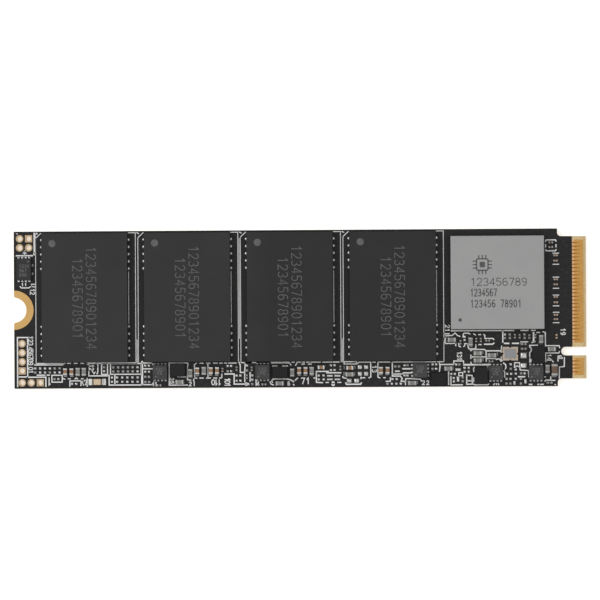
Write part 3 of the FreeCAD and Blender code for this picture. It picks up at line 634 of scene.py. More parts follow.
# Clearances of a memory's printed frame from its package, its cut corner and line width, and the
# ends of the line along the bare leads.
FRAME_LEFT, FRAME_RIGHT, FRAME_BELOW, FRAME_ABOVE = 0.92, 1.09, 0.18, 0.05
FRAME_CORNER = 0.75
FRAME_INK = 0.095
PIN_LINE = (5.3, -1.95)


def ink_memory_frames():
    """An outline round each memory package, open at the top, with its first corner cut."""
    for count, (low, high) in enumerate(memories):
        left, right = low[0] - FRAME_LEFT, high[0] + FRAME_RIGHT
        bottom, top = low[1] - FRAME_BELOW, high[1] + FRAME_ABOVE
        ink(left, top - FRAME_CORNER, left, bottom, width=FRAME_INK)
        ink(right, bottom, right, top, high[0] + 0.1, top, width=FRAME_INK)
        ink(left + 0.05, top - FRAME_CORNER + 0.1, left + FRAME_CORNER, top, width=0.12)
        upright(high[0] + 0.12, *PIN_LINE, 0.08)
        if count < 3:
            ink(right + 0.22, top + 0.02, right + 0.48, top - 0.12, width=0.13)
            # A third line between two neighbouring frames, in the lower or the upper part.
            third = (top - 0.9, -4.1, 0.09) if count == 1 else (-4.2, bottom, 0.1)
            upright(right + 0.17, *third)
    bottom = memories[0][0][1] - FRAME_BELOW
    ink(memories[0][0][0] - FRAME_LEFT, bottom, 7.0, bottom, width=0.13)
    dashes(bottom, 7.45, 7.9, 8.4, 8.85, 9.35, 9.75, width=0.16)
    dashes(bottom, 10.15, memories[0][1][0] + 1.2, width=0.2)


def ink_screw_end():
    """Round the screw notch and the plated holes at that end."""
    dashes(7.63, 0.35, 2.65, width=0.18)
    upright(1.53, 7.7, 8.3, 0.16)
    ink(1.3, 7.95, 1.53, 8.2, 1.76, 7.95, width=0.12)
    upright(2.94, 8.1, 10.75, 0.3)
    ink(2.85, 8.1, 2.82, 7.8, 3.05, 7.7, width=0.14)
    ink(3.05, 10.75, 3.3, 10.7, width=0.22)
    ink(0.38, 10.7, 0.55, 10.7, width=0.1)
    ink(0.88, 3.32, 1.02, 3.12, 2.1, 3.12, 2.5, 3.38)
    dashes(3.62, 2.45, 3.0, width=0.13)
    ink(2.4, 3.32, 2.95, 3.25, width=0.13)
    label("11", 1.1, 3.4, 0.34, 0, 1.3)
    label("12", 2.3, 3.0)
    wide(0.46, -10.7, 0.46, -3.83, 2.1, -3.83)
    upright(1.87, -3.95, -4.75, 0.13)
    upright(1.87, -4.9, -9.25, WIDE)
    dashes(-9.35, 0.65, 1.7, width=WIDE)
    ink(2.0, -9.4, 4.42, -9.4, 4.42, -10.7, width=0.18)
    label("123", 2.0, -3.65)
    label("456789", 2.0, -5.2, pitch=0.68)
    label("01", 2.0, -8.0)


def ink_power_strip():
    """The crowded lines between the small parts, from the screw end to the connector end."""
    wide(2.85, -7.68, 6.75, -7.68, 7.1, -7.46)
    dashes(-9.12, 3.2, 4.3, 4.6, 4.92, width=WIDE)
    ink(4.87, -9.5, 4.87, -10.48, 5.03, -10.35)
    ink_box(5.27, 6.72, -10.1, -9.14)
    ink(6.85, -9.62, 7.1, -9.7)
    dashes(-9.65, 7.55, 7.88, 9.4, 9.65)
    ink(8.5, -9.7, 8.7, -9.52, 8.9, -9.68)
    ink(7.79, -10.68, 7.79, -9.95, 9.28, -9.93)
    upright(9.35, -10.05, -10.6)
    label("12", 9.5, -10.65, 0.62, 20, 0.75)
    upright(10.22, -9.6, -10.7)
    label("12", 10.5, -7.65)
    wide(10.45, -8.65, 10.45, -9.25, 13.05, -9.25)
    wide(10.15, -7.5, 10.4, -7.65)
    ink(10.95, -8.6, 11.2, -8.95, 11.35, -8.7, width=0.12)
    ink(11.45, -7.52, 11.72, -7.6, 11.74, -7.9)
    ink(11.72, -8.1, 11.72, -8.75, 11.6, -8.98)
    ink_box(12.25, 13.08, -9.05, -7.55)
    ink_box(13.5, 17.8, -9.05, -7.55)
    wide(13.1, -9.12, 13.3, -9.2, 13.3, -10.55, 17.8, -10.55)
    upright(14.1, -9.1, -10.5, WIDE)
    upright(17.93, -7.3, -10.5, 0.28)
    dashes(-7.48, 18.0, 19.3)
    ink(19.3, -7.5, 19.48, -7.75)
    dashes(-8.3, 18.15, 19.35, width=WIDE)
    dashes(-10.52, 18.0, 19.3)
    label("41", 19.3, -10.7, 0.5, 0, 0.8)
    ink(24.3, -7.5, 21.72, -7.5, 21.72, -10.6, 24.3, -10.6)
    label("35", 21.85, -9.62, 0.5, -90, 0.9)
    dashes(-9.47, 22.95, 23.15, 23.35, 24.05, width=0.12)
    ink(24.38, -7.5, 24.3, -8.1, 24.28, -9.85, 24.75, -9.92)
    label("2", 24.5, -10.7, 0.55, 0)
    ink(25.55, -7.55, 25.25, -7.75, 25.3, -9.6, 25.1, -9.95, 25.22, -10.15, 25.22, -10.7, width=0.13)
    dashes(-7.55, 26.05, 26.5, 26.95, 27.45, 27.95, 28.45, 28.8, 29.15, 29.45, 29.75, 30.0, 31.1)
    upright(27.15, -7.6, -9.55)
    dashes(-9.63, 25.3, 25.6, 26.0, 26.5, 26.95, 27.5, 27.95, 28.4, 28.8, 29.05)
    upright(29.1, -9.05, -9.55)
    label("110", 28.98, -9.87, 0.72, 180, 0.62, 0.13)
    label("101", 29.52, -9.62, 0.7, -90, 0.55, 0.13)
    wide(29.5, -9.08, 30.82, -9.08, 30.82, -10.5, 32.4, -10.5)
    ink(31.45, -7.3, 31.6, -7.6, 31.68, -7.95, 31.68, -8.87, 32.25, -8.87)
    ink(33.85, -7.5, 32.37, -7.5, 32.3, -8.8, 32.3, -10.2)
    label("3", 32.4, -10.7, 0.4, 0)
    upright(33.05, -8.9, -10.1, WIDE)
    ink(33.87, -9.85, 33.9, -10.7)
    label("4", 34.0, -10.72, 0.5, 0)
    ink(35.85, -10.2, 35.95, -10.5, 36.3, -10.65)
    ink(36.05, -10.1, 36.2, -10.3)
    dashes(-7.52, 36.05, 38.5, width=0.24)
    dashes(-7.48, 38.9, 39.25, 39.6, 40.15, 40.4, 40.7, 40.95, 41.35, 41.6, 42.9, 43.2, 44.5,
           44.7, 45.5, width=0.16)
    dashes(-7.5, 31.9, 33.3, width=0.15)
    dashes(-8.0, 36.2, 36.85, 37.6, 38.3)
    wide(36.1, -10.02, 36.25, -9.82, 38.3, -9.82, 38.8, -9.97, 39.15, -10.2)
    label("6", 38.3, -10.7, 0.5, 0, 0.8)
    ink(39.1, -10.55, 39.2, -10.7)
    ink(39.35, -10.0, 39.7, -9.68)
    ink(38.6, -7.6, 38.75, -7.88)
    ink(39.4, -7.9, 39.6, -7.65)
    dashes(-7.75, 40.3, 40.7, 41.2, 41.6)
    label("71", 40.2, -10.5, 0.8, 0, 0.85, 0.14)
    dashes(-9.7, 41.95, 42.2)
    wide(44.0, -8.78, 42.32, -8.78, 42.32, -10.3, 43.2, -10.36)
    dashes(-8.98, 43.75, 45.75, width=WIDE)
    dashes(-10.33, 43.65, 44.0, 45.3, 45.75)
    label("8", 44.5, -10.75, 0.5, 0, 1, 0.18)
    ink_box(46.2, 47.95, -7.76, -7.45, 0.12)
    ink(48.05, -7.68, 48.3, -7.52, 49.92, -7.52, 49.92, -9.6, 49.65, -9.7)
    dashes(-7.52, 50.2, 50.6, 50.95, 52.6)
    ink(50.92, -7.5, 50.92, -9.62, 51.2, -9.72)
    label("13", 50.1, -8.0, 0.64, -90, 0.85)
    upright(48.55, -9.6, -9.85)
    dashes(-9.7, 48.75, 49.1, 51.7, 51.95)
    ink(45.98, -9.5, 46.1, -9.7, 46.5, -9.76)
    ink(46.42, -10.38, 46.5, -10.6, 48.5, -10.6, 48.6, -10.4, width=0.18)
    dashes(-7.52, 53.0, 59.0, 59.25, 60.0, width=0.13)
    wide(52.93, -7.6, 52.93, -9.48, 54.05, -9.48, 54.3, -9.8, 54.15, -10.2, 54.72, -10.25)
    dashes(-9.2, 53.0, 54.3)
    wide(54.3, -9.2, 54.5, -9.04, 55.6, -9.04)
    dashes(-8.47, 54.4, 55.5, width=0.2)
    ink(52.65, -9.7, 52.65, -10.2, 52.05, -10.22)
    ink(54.75, -10.7, 54.78, -9.85, 55.6, -9.85, 56.85, -9.95, 56.98, -10.2)
    label("22", 57.1, -10.7, 0.55, 0, 1.1)
    dashes(-7.9, 59.7, 61.5, width=WIDE)
    wide(59.5, -7.7, 59.6, -8.1, 59.5, -8.85)
    upright(60.78, -8.9, -10.72, WIDE)
    wide(61.1, -9.6, 61.1, -10.75, 62.7, -10.75)
    ink_box(62.2, 62.74, -9.48, -9.04, 0.13)


def ink_controller_side():
    """Round the boot memory, the crystal and the small parts below the controller."""
    left, base = controller_low[0] + 0.1, controller_low[1] - 0.2
    dashes(base, left, 69.9, 70.9, 71.9, 72.35, 72.9, width=WIDE)
    dashes(-3.62, 60.15, 60.9)
    ink(60.4, -3.9, 61.3, -3.86, 61.72, -3.52, 62.05, -3.86, 62.4, -4.0)
    ink(60.17, -4.15, 60.2, -4.75, 60.4, -4.97, 61.85, -4.96)
    ink(60.42, -4.2, 60.3, -4.45, 60.42, -4.7, width=0.12)
    ink(62.85, -4.1, 62.85, -3.65, 63.0, -3.55, 63.6, -3.55, 63.8, -3.7)
    ink(64.3, -3.65, 64.55, -3.8)
    dashes(-3.75, 65.0, 65.3)
    ink(65.7, -3.75, 65.86, -3.85, 65.86, -4.3, 66.95, -4.3, 67.12, -4.45)
    ink(65.8, -5.1, 66.9, -5.1, 67.12, -4.95, width=0.19)
    dashes(-5.15, 65.0, 65.35)
    upright(61.8, -4.95, -5.3)
    ink(62.2, -4.95, 62.25, -5.35, 62.45, -5.45)
    ink(62.9, -5.4, 63.05, -5.3, 63.05, -5.0, 63.4, -5.02)
    ink(63.5, -5.2, 63.55, -5.6, 63.72, -5.76, 64.6, -5.7, 64.6, -5.15)
    ink(63.86, -6.0, 64.1, -5.83, 65.8, -5.83, 66.02, -6.03, 66.04, -7.5)
    dashes(-6.86, 63.95, 65.9, width=WIDE)
    upright(63.9, -6.6, -7.1)
    ink(63.9, -7.6, 63.95, -7.8)
    dashes(-7.95, 62.9, 66.6, width=0.24)
    wide(66.15, -6.03, 68.0, -6.03, 68.15, -6.2)
    ink(66.15, -7.1, 67.3, -7.1, 67.5, -7.25, 67.7, -7.1, 68.0, -7.3, 68.1, -7.5)
    label("131", 62.0, -6.1, pitch=0.68)
    ink(61.5, -7.85, 61.52, -7.42, 62.86, -7.42, 62.9, -7.85)
    ink(63.3, -9.35, 63.3, -10.68, 64.08, -10.66, 64.06, -9.45, 63.35, -9.42, width=0.16)
    dashes(-10.2, 63.4, 64.0, width=0.16)
    ink(64.27, -8.9, 64.27, -8.42, 64.42, -8.3)
    ink(66.22, -8.25, 66.26, -8.75, width=0.12)
    upright(64.27, -9.8, -10.35)
    ink(64.2, -10.66, 64.4, -10.76, 66.2, -10.76, 66.38, -10.65)
    ink(68.2, -5.35, 68.14, -5.7, 68.1, -6.05, width=0.13)
    ink(68.14, -6.85, 68.1, -7.15, 68.25, -7.45, width=0.13)
    dashes(-10.74, 72.0, 72.4, 73.2, 73.35, 73.58, 73.98, width=WIDE)
    ink(68.45, -7.75, 68.72, -7.95, 68.78, -8.35, 68.68, -8.6, width=0.18)
    ink(68.48, -8.8, 68.6, -9.0, 68.6, -9.75)
    ink(67.03, -10.76, 67.2, -10.6)
    upright(67.45, -10.6, -10.76)
    ink(67.7, -10.6, 67.76, -10.76)
    wide(68.36, base, 68.36, -4.85)
    dashes(-5.0, 68.6, 69.2, 69.7, 70.55, width=0.2)
    dashes(-4.8, 70.85, 71.85, width=0.13)
    upright(72.65, -3.5, -4.75, 0.22)
    ink(72.42, -4.88, 72.85, -4.76)
    dashes(-3.5, 73.1, 73.5)
    ink(73.95, -3.4, 74.28, -3.5, 74.3, -5.34, 76.2, -5.36, 76.27, -5.65)
    ink(73.2, -5.27, 72.1, -5.3, 72.1, -5.5, 72.33, -5.75, 72.3, -6.1, 72.1, -6.3, 72.1, -7.65)
    ink(72.1, -7.0, 72.28, -7.3, 72.25, -7.6)
    ink(74.32, -7.6, 74.32, -6.37, 76.15, -6.37, 76.25, -6.15)
    label("14", 74.55, -6.55, 0.5, -90, 0.9)
    dashes(-7.38, 74.35, 75.1, width=0.13)
    ink(75.05, -7.3, 75.4, -7.62)
    ink(76.02, -7.5, 76.05, -6.82, 76.5, -6.78)
    label("2", 76.25, -6.95, 0.4, -90)
    ink(76.92, -7.0, 76.9, -8.27, 76.22, -8.33, 76.2, -9.9)
    ink(69.97, -8.35, 70.0, -7.7, 70.68, -7.7, 70.75, -8.72, 71.9, -8.8, 71.95, -9.7)
    ink(70.1, -8.32, 70.34, -8.12, 70.58, -8.28, width=0.12)
    dashes(-9.66, 70.5, 71.4, width=0.18)
    ink(74.2, -10.3, 74.3, -10.14, 75.6, -10.2)
    upright(75.0, -9.7, -10.1)
    ink(74.18, -9.68, 74.28, -9.74)
    ink(75.58, -10.75, 75.68, -10.82)
    label("19", 76.45, -2.95, pitch=0.85)
    label("21", 60.35, -2.4, 0.6, -90, 0.85)


def ink_connector_side():
    """Brackets round the pairs of coupling capacitors and the two resistors above them."""
    ink(74.4, 9.2, 74.47, 9.4, 75.78, 9.4, 75.85, 9.2)
    ink(74.4, 8.05, 74.5, 7.88, 75.75, 7.88, 75.85, 8.05)
    for x in (74.4, 75.84):
        upright(x, 8.42, 8.75)
    for y in (7.55, 6.0, 4.2, 2.65, 1.7, 0.2, -0.7, -2.15):
        dashes(y, 75.4, 76.2, width=0.13)


# ---- copper relief under the mask, above and below ----

TRACK = 0.1
TRACK_RISE = 0.007
TRACK_SUNK = 0.001


def track(solid, *points, under=False):
    """A copper track under the mask: a low flat-topped ridge, sunk a little into the mask."""
    level, way = (Z_MASK_UNDER, -1) if under else (Z_MASK, 1)
    stroke(solid, points, TRACK, *sorted((level - way * TRACK_SUNK, level + way * TRACK_RISE)))


def via(solid, x, y, under=False):
    """A hole filled and covered by the mask: a low button with a dimple."""
    level, way = (Z_MASK_UNDER, -1) if under else (Z_MASK, 1)
    steps = ((0.22, -0.001), (0.2, 0.008), (0.13, 0.008), (0.07, 0.002))
    loops = [ring((x, y), (r, r), 2, 16, level + way * rise) for r, rise in steps]
    loft(solid, loops if way > 0 else [loop[::-1] for loop in loops])


# Vias that stand alone: beside the connector, round the controller, then along the crowded edge.
SCATTERED_VIAS = (
    (76.9, 9.2), (77.3, 8.6), (76.8, 5.2), (77.4, 4.9), (77.1, 2.4), (76.9, -0.2), (77.5, -0.4),
    (77.2, -2.6), (74.7, 5.2), (74.75, 2.4), (74.7, -0.2), (75.2, -2.7), (76.9, -9.2), (77.4, -8.4),
    (61.2, -6.0), (61.0, -6.9), (63.3, -6.6), (63.2, -7.1), (66.9, -5.55), (67.6, -5.6), (67.7, -3.9),
    (26.2, -10.2), (26.9, -10.55), (49.6, -10.2), (50.6, -10.5), (51.3, -10.2), (58.0, -7.6),
    (2.2, 5.9), (2.3, 4.6), (0.5, 3.5), (41.6, -10.7), (7.2, -10.2), (6.3, -10.6),
)


def relief_top():
    """Pairs of tracks from the contacts through the coupling capacitors to the controller."""
    relief = Solid()
    for y in (7.25, 6.45, 3.85, 3.15, 1.4, 0.65, -1.05, -1.65):
        track(relief, (76.15, y), (76.7, y), (77.2, y + 0.2), (77.98, y + 0.2))
        track(relief, (75.35, y), (74.9, y), (controller_high[0] + 0.1, y * 0.9 + 0.3))
    for k, (_, high) in enumerate(memories):
        x0 = high[0] + 0.45
        for j in range(7):
            y = 7.2 - 1.15 * j - 0.2 * k
            track(relief, (x0 - 0.2, y), (x0 + 0.15, y), (x0 + 0.35, y - 0.2), (x0 + 0.6, y - 0.2))
            if j % 2:
                via(relief, x0 + 0.45, y - 0.75)
    for x, y in SCATTERED_VIAS:
        via(relief, x, y)
    relief.piece("mask_relief_top", "mask_on_copper", "solder_mask")


def relief_under():
    """The single-sided card's underside: buses of tracks, rows of vias and a printed outline."""
    relief, print_under = Solid(), Solid()
    for low, high in memories:
        middle = (low[0] + high[0]) / 2
        for row in range(8):
            for column in (-2.4, -1.6, 1.6, 2.4):
                via(relief, middle + column + draw.uniform(-0.1, 0.1), 5.6 - row * 1.1, under=True)
        for j in range(9):
            y = 8.6 - 0.3 * j
            track(relief, (middle + 2.7, y), (middle + 5.2, y), (middle + 6.0, y - 0.8),
                  (middle + 9.5, y - 0.8), (middle + 10.3, y), (middle + 11.5, y), under=True)
        for j in range(6):
            x, end = middle - 1.0 + 0.4 * j, -6.4 + 0.3 * j
            track(relief, (x, 5.2), (x, -2.6), (x + 0.6, -3.2), (x + 0.6, end), (x + 1.6, end - 1.0),
                  under=True)
        stroke(print_under, [(low[0] + 0.8, low[1] + 0.8), (high[0] - 0.8, low[1] + 0.8),
                             (high[0] - 0.8, high[1] - 1.6), (low[0] + 0.8, high[1] - 1.6)], 0.14,
               Z_MASK_UNDER - INK_RISE, Z_MASK_UNDER, closed=True)
    for j in range(26):
        via(relief, 6.5 + 2.6 * j + draw.uniform(-0.3, 0.3), -10.2 + 0.35 * (j % 2), under=True)
        via(relief, 8.0 + 2.6 * j + draw.uniform(-0.3, 0.3), 10.2 - 0.3 * (j % 3), under=True)
    for j in range(15):
        for i in range(4):
            via(relief, 64.4 + 2.1 * i, 8.9 - 0.8 * j + 0.2 * (i % 2), under=True)
    for y in (8.0, 7.6, 5.5, 5.1, 3.0, 2.6, 0.5, 0.1, -2.0, -2.4):
        track(relief, (71.0, y), (73.2, y), (74.4, y + 0.5), (77.9, y + 0.5), under=True)
    for j in range(8):
        y = -8.2 - 0.28 * j
        track(relief, (6.0, y), (24.0 + j, y), (25.0 + j, y + 0.6), (52.0, y + 0.6), (53.0, y),
              (60.0 + j, y), under=True)
    relief.piece("mask_relief_under", "mask_on_copper", "solder_mask")
    print_under.piece("printed_ink_under", "silk", "solder_mask")


relief_top()
relief_under()

ink_memory_frames()
ink_screw_end()
ink_power_strip()
ink_controller_side()
ink_connector_side()
silk.piece("printed_ink_top", "silk", "solder_mask")

# ---- marks on the packages ----

MARK_RISE = 0.003


def mark_memories():
    """A round first-contact mark and two rows of digits, read from the connector end."""
    marks = Solid()
    top = Z_MEMORY - MARK_RISE, Z_MEMORY + MARK_RISE
    for low, high in memories:
        x, y = (low[0] + high[0]) / 2, (low[1] + high[1]) / 2
        disc(marks, x - 4.5, y + 7.58, 0.5, 40, top)
        number(marks, "12345678901234", x + 0.27, y + 7.1, 1.35, 1.04, 0.115, -90, *top, stretch=0.92)
        number(marks, "12345678901", x - 1.63, y + 5.5, 1.35, 1.04, 0.115, -90, *top, stretch=0.92)
    marks.piece("memory_marks", "laser_mark", "mould_compound")


def mark_controller():
    """A plain chip pictogram, three rows of digits and a round first-contact mark."""
    marks = Solid()
    top = Z_LID - MARK_RISE, Z_LID + MARK_RISE
    x0, y0 = controller_low[0], controller_low[1]
    left = x0 + 2.75
    centre = (x0 + 4.4, y0 + 9.0)
    half, pin = 0.8, 0.38
    corners = []
    for cx, cy, start in ((1, 1, 0), (-1, 1, 90), (-1, -1, 180), (1, -1, 270)):
        corners += curve(centre[0] + cx * (half - 0.25), centre[1] + cy * (half - 0.25), 0.25, 0.25,
                         start, start + 90, 4)
    stroke(marks, corners, 0.18, *top, closed=True)
    loft(marks, [ring(centre, (0.38, 0.38), 8, 24, z) for z in top])
    for k in range(-1, 2):
        for way in (-1, 1):
            along, out = k * 0.48, way * (half + 0.1)
            stroke(marks, [(centre[0] + along, centre[1] + out),
                           (centre[0] + along, centre[1] + out + way * pin)], 0.16, *top)
            stroke(marks, [(centre[0] + out, centre[1] + along),
                           (centre[0] + out + way * pin, centre[1] + along)], 0.16, *top)
    number(marks, "123456789", left, y0 + 6.08, 1.02, 0.89, 0.12, 0, *top, stretch=1.15)
    number(marks, "1234567", left, y0 + 4.62, 0.98, 0.54, 0.15, 0, *top, stretch=0.62)
    number(marks, "123456 78901", left, y0 + 3.08, 0.98, 0.6, 0.15, 0, *top, stretch=0.68)
    disc(marks, x0 + 1.28, y0 + 1.3, 0.25, 32, top)
    marks.piece("controller_marks", "dark_mark", "nickel_plate")


def mark_small_chips():
    """Faint digits and a first-contact dot on each leadless chip."""
    marks = Solid()
    for node in ("regulator_bodies", "load_switch_body"):
        for low, high in islands(node):
            z = high[2] - MARK_RISE, high[2] + MARK_RISE
            disc(marks, low[0] + 0.42, low[1] + 0.42, 0.13, 20, z)
            number(marks, "123", low[0] + 0.45, low[1] + 1.2, 0.42, 0.4, 0.07, 0, *z)
            number(marks, "45", low[0] + 0.65, low[1] + 0.68, 0.42, 0.4, 0.07, 0, *z)
    low, high = span("boot_memory_body")
    z = high[2] - MARK_RISE, high[2] + MARK_RISE
    disc(marks, high[0] - 0.38, high[1] - 0.4, 0.12, 20, z)
    for k, text in enumerate(("1234", "567", "890")):
        number(marks, text, low[0] + 0.4, high[1] - 1.25 - 0.62 * k, 0.42, 0.36, 0.06, 0, *z)
    marks.piece("small_chip_marks", "faint_mark", "mould_compound")


mark_memories()
mark_controller()
mark_small_chips()

# ---- solder and terminals ----


def overlaps(low, high, others):
    """Whether a box's outline, seen from above, crosses any of the others."""
    return any(all(low[i] < end[i] and high[i] > start[i] for i in (0, 1)) for start, end in others)


# Bare lands whose solder is dull: x0, x1, y0, y1.
DULL_AREAS = (
    (2.3, 2.9, 4.8, 6.6), (5.3, 6.6, -8.5, -7.9), (12.2, 12.9, -8.4, -7.8), (13.9, 16.8, -8.9, -7.8),
    (18.2, 19.3, -10.4, -9.1), (53.1, 54.2, -8.4, -7.8), (58.2, 58.8, -8.8, -8.2),
    (62.5, 63.1, -10.5, -9.6), (69.0, 69.6, -4.6, -3.5), (71.1, 71.8, -4.6, -3.5),
    (68.5, 69.7, -9.1, -8.2), (68.5, 69.7, -10.9, -10.4), (70.4, 71.0, -10.9, -9.6),
)

# Ends of lands left bare beside a part: middle x and y, length along x, length along y.
BARE_ENDS = (
    (7.17, -9.28, 0.5, 0.2), (8.06, -9.28, 0.5, 0.2), (24.72, -9.58, 0.5, 0.1),
    (25.68, -9.3, 0.5, 0.14), (26.6, -9.16, 0.5, 0.1), (27.48, -9.2, 0.52, 0.26),
    (28.38, -9.2, 0.52, 0.26), (39.93, -9.28, 0.5, 0.2), (40.8, -9.28, 0.5, 0.2),
    (41.7, -9.36, 0.5, 0.1), (51.32, -9.28, 0.5, 0.16), (52.2, -9.26, 0.5, 0.18),
    (46.2, -8.24, 0.12, 0.5), (47.72, -8.24, 0.12, 0.5), (46.18, -9.16, 0.12, 0.55),
    (47.68, -9.16, 0.12, 0.55), (61.42, -8.42, 0.12, 0.5), (65.6, -6.24, 0.12, 0.5),
    (65.6, -7.28, 0.12, 0.5), (75.68, -5.8, 0.12, 0.5), (56.42, -10.38, 0.12, 0.5),
    (67.62, -6.5, 0.14, 0.5), (74.5, -9.2, 0.45, 0.1), (75.5, -9.68, 0.7, 0.12),
    (75.5, -7.86, 0.8, 0.12), (73.62, -5.08, 0.6, 0.14), (63.9, -5.36, 0.5, 0.2),
    (70.93, -5.1, 0.16, 0.36), (71.63, -5.1, 0.16, 0.36), (70.93, -5.76, 0.16, 0.36),
    (71.63, -5.76, 0.16, 0.36), (74.5, -10.5, 0.2, 0.34), (75.2, -10.5, 0.2, 0.34),
)


# Full, bright solder toes: the first lead of each row of four, the pitch, and a toe's size.
FULL_TOE_ROWS = ((0.7, 7.34), (0.7, 4.06), (72.2, -7.96))
LEAD_PITCH = 0.5
FULL_TOE = (0.14, 0.12)
FULL_TOE_RISE = 0.1


def dome_bare_lands():
    """Solder cushions on the lands that carry no part, and on the round lands by the memories."""
    covers = []
    for node in NODES:
        if node.endswith(("_terminals", "_end_caps", "_leads", "_paddle", "_paddles", "crystal_pads")):
            covers += islands(node)
    bright, dull = Solid(), Solid()
    for low, high in islands("tinned_pads"):
        if overlaps(low, high, covers):
            continue
        middle, half = (low[:2] + high[:2]) / 2, (high[:2] - low[:2]) / 2
        height = min(0.09, 0.28 * half.min()) * draw.uniform(0.7, 1.15)
        slip = [draw.uniform(-0.015, 0.015) for _ in range(2)]
        is_dull = (draw.random() < 0.12 and max(half) < 0.2) or any(
            x0 < middle[0] < x1 and y0 < middle[1] < y1 for x0, x1, y0, y1 in DULL_AREAS)
        dome(dull if is_dull else bright, middle + slip, half * draw.uniform(0.82, 0.96),
             Z_SEAT - 0.002, height, 5.0)
    for low, high in islands("memory_side_pads"):
        half = (high[:2] - low[:2]) / 2
        dome(bright, (low[:2] + high[:2]) / 2, half * draw.uniform(0.72, 0.84), Z_SEAT - 0.002,
             0.06 * draw.uniform(0.8, 1.2), 2.0)
    for x, y, along, across in BARE_ENDS:
        half = along / 2, across / 2
        loft(dull, [ring((x, y), half, 8, 20, z) for z in (Z_MASK - 0.002, Z_MASK + 0.012)])
        dome(dull, (x, y), (half[0] * 0.9, half[1] * 0.9), Z_MASK + 0.01, 0.035, 5.0)
    for x, y in FULL_TOE_ROWS:
        for i in range(4):
            toe = (x + LEAD_PITCH * i, y)
            sides = [ring(toe, FULL_TOE, 4, 20, z) for z in (Z_SEAT - 0.002, Z_SEAT + FULL_TOE_RISE)]
            loft(bright, sides)
            dome(bright, toe, FULL_TOE, Z_SEAT + FULL_TOE_RISE - 0.002, 0.025)
    bright.piece("solder_cushions", "solder", "solder", smooth=True)
    dull.piece("dull_solder_cushions", "dim_solder", "solder", smooth=True)


dome_bare_lands()

bead_boxes("bypass_capacitor_terminals", "tinned_copper", 0.05)
bead_boxes("fuse_end_caps", "fuse_tin", 0.05)


def dress_fuse():
    """Solder banked against both ends of the fuse, and the dark seams between caps and ceramic."""
    banks, seams = Solid(), Solid()
    middle = sum(corner[0] for corner in span("fuse_body")) / 2
    for low, high in islands("fuse_end_caps"):
        way = -1 if low[0] < middle else 1
        inner, outer = (high[0], low[0]) if way < 0 else (low[0], high[0])
        x0, x1 = sorted((outer - way * 0.04, outer + way * BANK_REACH))
        rounded_box(banks, (x0, low[1] - 0.03, Z_SEAT), (x1, high[1] + 0.03, Z_SEAT + BANK_RISE), 0.07)
        x0, x1 = sorted((inner, inner + way * SEAM))
        rounded_box(seams, (x0, low[1] - 0.006, low[2] + 0.1), (x1, high[1] + 0.006, high[2] + 0.01),
                    0.03)
    banks.piece("fuse_solder_banks", "fuse_tin", "solder", smooth=True)
    seams.piece("fuse_seams", "fuse_band", "fuse_ceramic", smooth=True)


BANK_REACH = 0.42
BANK_RISE = 0.2
SEAM = 0.2
dress_fuse()
for node in ("filter_capacitor_terminals", "small_chip_terminals", "coupling_capacitor_terminals",
             "bulk_capacitor_terminals"):
    bead_boxes(node, "dull_tin", 0.06)

for node, width in (
    ("bypass_capacitor_bodies", 0.04), ("filter_capacitor_bodies", 0.04), ("small_chip_bodies", 0.025),
    ("coupling_capacitor_bodies", 0.025), ("bulk_capacitor_body", 0.06), ("fuse_body", 0.03),
    ("regulator_bodies", 0.025), ("load_switch_body", 0.025), ("boot_memory_body", 0.03),
    ("inductor_cores", 0.05), ("crystal_tray", 0.02), ("crystal_lid", 0.03),
    ("edge_contacts_top", 0.01), ("edge_contacts_bottom", 0.01), ("controller_substrate", 0.02),
):
    soften(node, width)
soften("memory_mould_caps", 0.04, 3)
soften("memory_substrates", 0.015)
soften("controller_lid", 0.09, 4)


# ---- camera, light and floor ----

scene = bpy.context.scene
scene.view_settings.view_transform = "Standard"

CAMERA_PLACE = (0.04958, 0.00116, 0.39552)
CAMERA_LENS = 169.5
CAMERA_LEAN = 1.3775
CAMERA_TURN = -0.3188

camera = bpy.data.objects.new("camera", bpy.data.cameras.new("camera"))
camera.data.sensor_width = 36.0
camera.data.lens = CAMERA_LENS
camera.location = CAMERA_PLACE
camera.rotation_euler = (0, math.radians(CAMERA_LEAN), math.radians(CAMERA_TURN))
camera.data.clip_start, camera.data.clip_end = 0.01, 20
scene.collection.objects.link(camera)
scene.camera = camera


def area_light(name, place, target, size, power):
    light = bpy.data.lights.new(name, "AREA")
    light.shape = "RECTANGLE"
    light.size, light.size_y = size
    light.energy = power
    made = bpy.data.objects.new(name, light)
    made.location = place
    made.rotation_euler = (Vector(target) - Vector(place)).to_track_quat("-Z", "Y").to_euler()
    scene.collection.objects.link(made)


area_light("key", (-0.5, 0.22, 0.5), (0.03, 0, 0), (0.35, 0.5), 2.4)
area_light("fill", (0.5, -0.35, 0.9), (0.04, 0, 0), (0.7, 0.7), 0.5)

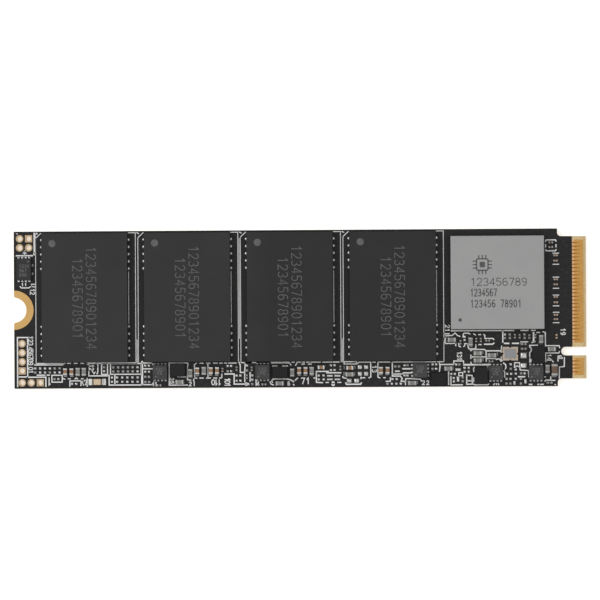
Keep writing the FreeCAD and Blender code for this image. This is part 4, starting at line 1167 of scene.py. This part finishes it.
world = bpy.data.worlds.new("studio")
scene.world = world
world.use_nodes = True
tree = world.node_tree
backdrop = tree.nodes["Background"]


def light_dome():
    """A white room to the camera; as a light it is bright overhead and dim at the horizon."""
    direction = tree.nodes.new("ShaderNodeTexCoord").outputs["Generated"]
    split = tree.nodes.new("ShaderNodeSeparateXYZ")
    tree.links.new(direction, split.inputs[0])
    rise = tree.nodes.new("ShaderNodeMapRange")
    tree.links.new(split.outputs[2], rise.inputs["Value"])
    for key, level in (("From Min", 0.0), ("From Max", 0.9), ("To Min", HORIZON), ("To Max", ZENITH)):
        rise.inputs[key].default_value = level
    seen = tree.nodes.new("ShaderNodeLightPath").outputs["Is Camera Ray"]
    choose = tree.nodes.new("ShaderNodeMix")
    tree.links.new(seen, choose.inputs[0])
    tree.links.new(rise.outputs["Result"], choose.inputs[2])
    choose.inputs[3].default_value = 1.0
    tree.links.new(choose.outputs[0], backdrop.inputs["Strength"])


HORIZON, ZENITH = 0.28, 0.84
backdrop.inputs["Color"].default_value = (1.0, 1.0, 1.0, 1.0)
light_dome()

FLOOR_Z = -2e-5
floor_mesh = bpy.data.meshes.new("floor")
corners = ((-3, -3), (3, -3), (3, 3), (-3, 3))
floor_mesh.from_pydata([(x, y, FLOOR_Z) for x, y in corners], [], [(0, 1, 2, 3)])
floor = bpy.data.objects.new("floor", floor_mesh)
scene.collection.objects.link(floor)
paper = Shader("floor_paper")


def under_small_holes(shader):
    """1 on the paper under the corners of the card that hold the small plated holes, 0 elsewhere."""
    return shader.maths("MULTIPLY", shader.window(shader.along(0), *HOLES_ALONG),
                        shader.window(shader.away_from(1), *HOLES_ASIDE))


HOLES_ALONG = ((0.2, 0.3), (4.6, 4.7))
HOLES_ASIDE = ((3.8, 3.9), (10.7, 10.8))

# Light that comes down the gold barrels of the small holes is warm.
paper_glow = paper.mix(under_small_holes(paper), (1, 1, 1, 1), (1.3, 1.17, 0.98, 1))
paper.set(Base_Color=tint(238), Roughness=0.9, Specular_IOR_Level=0.1,
          Emission_Color=paper_glow, Emission_Strength=0.42)
floor_mesh.materials.append(paper.material)
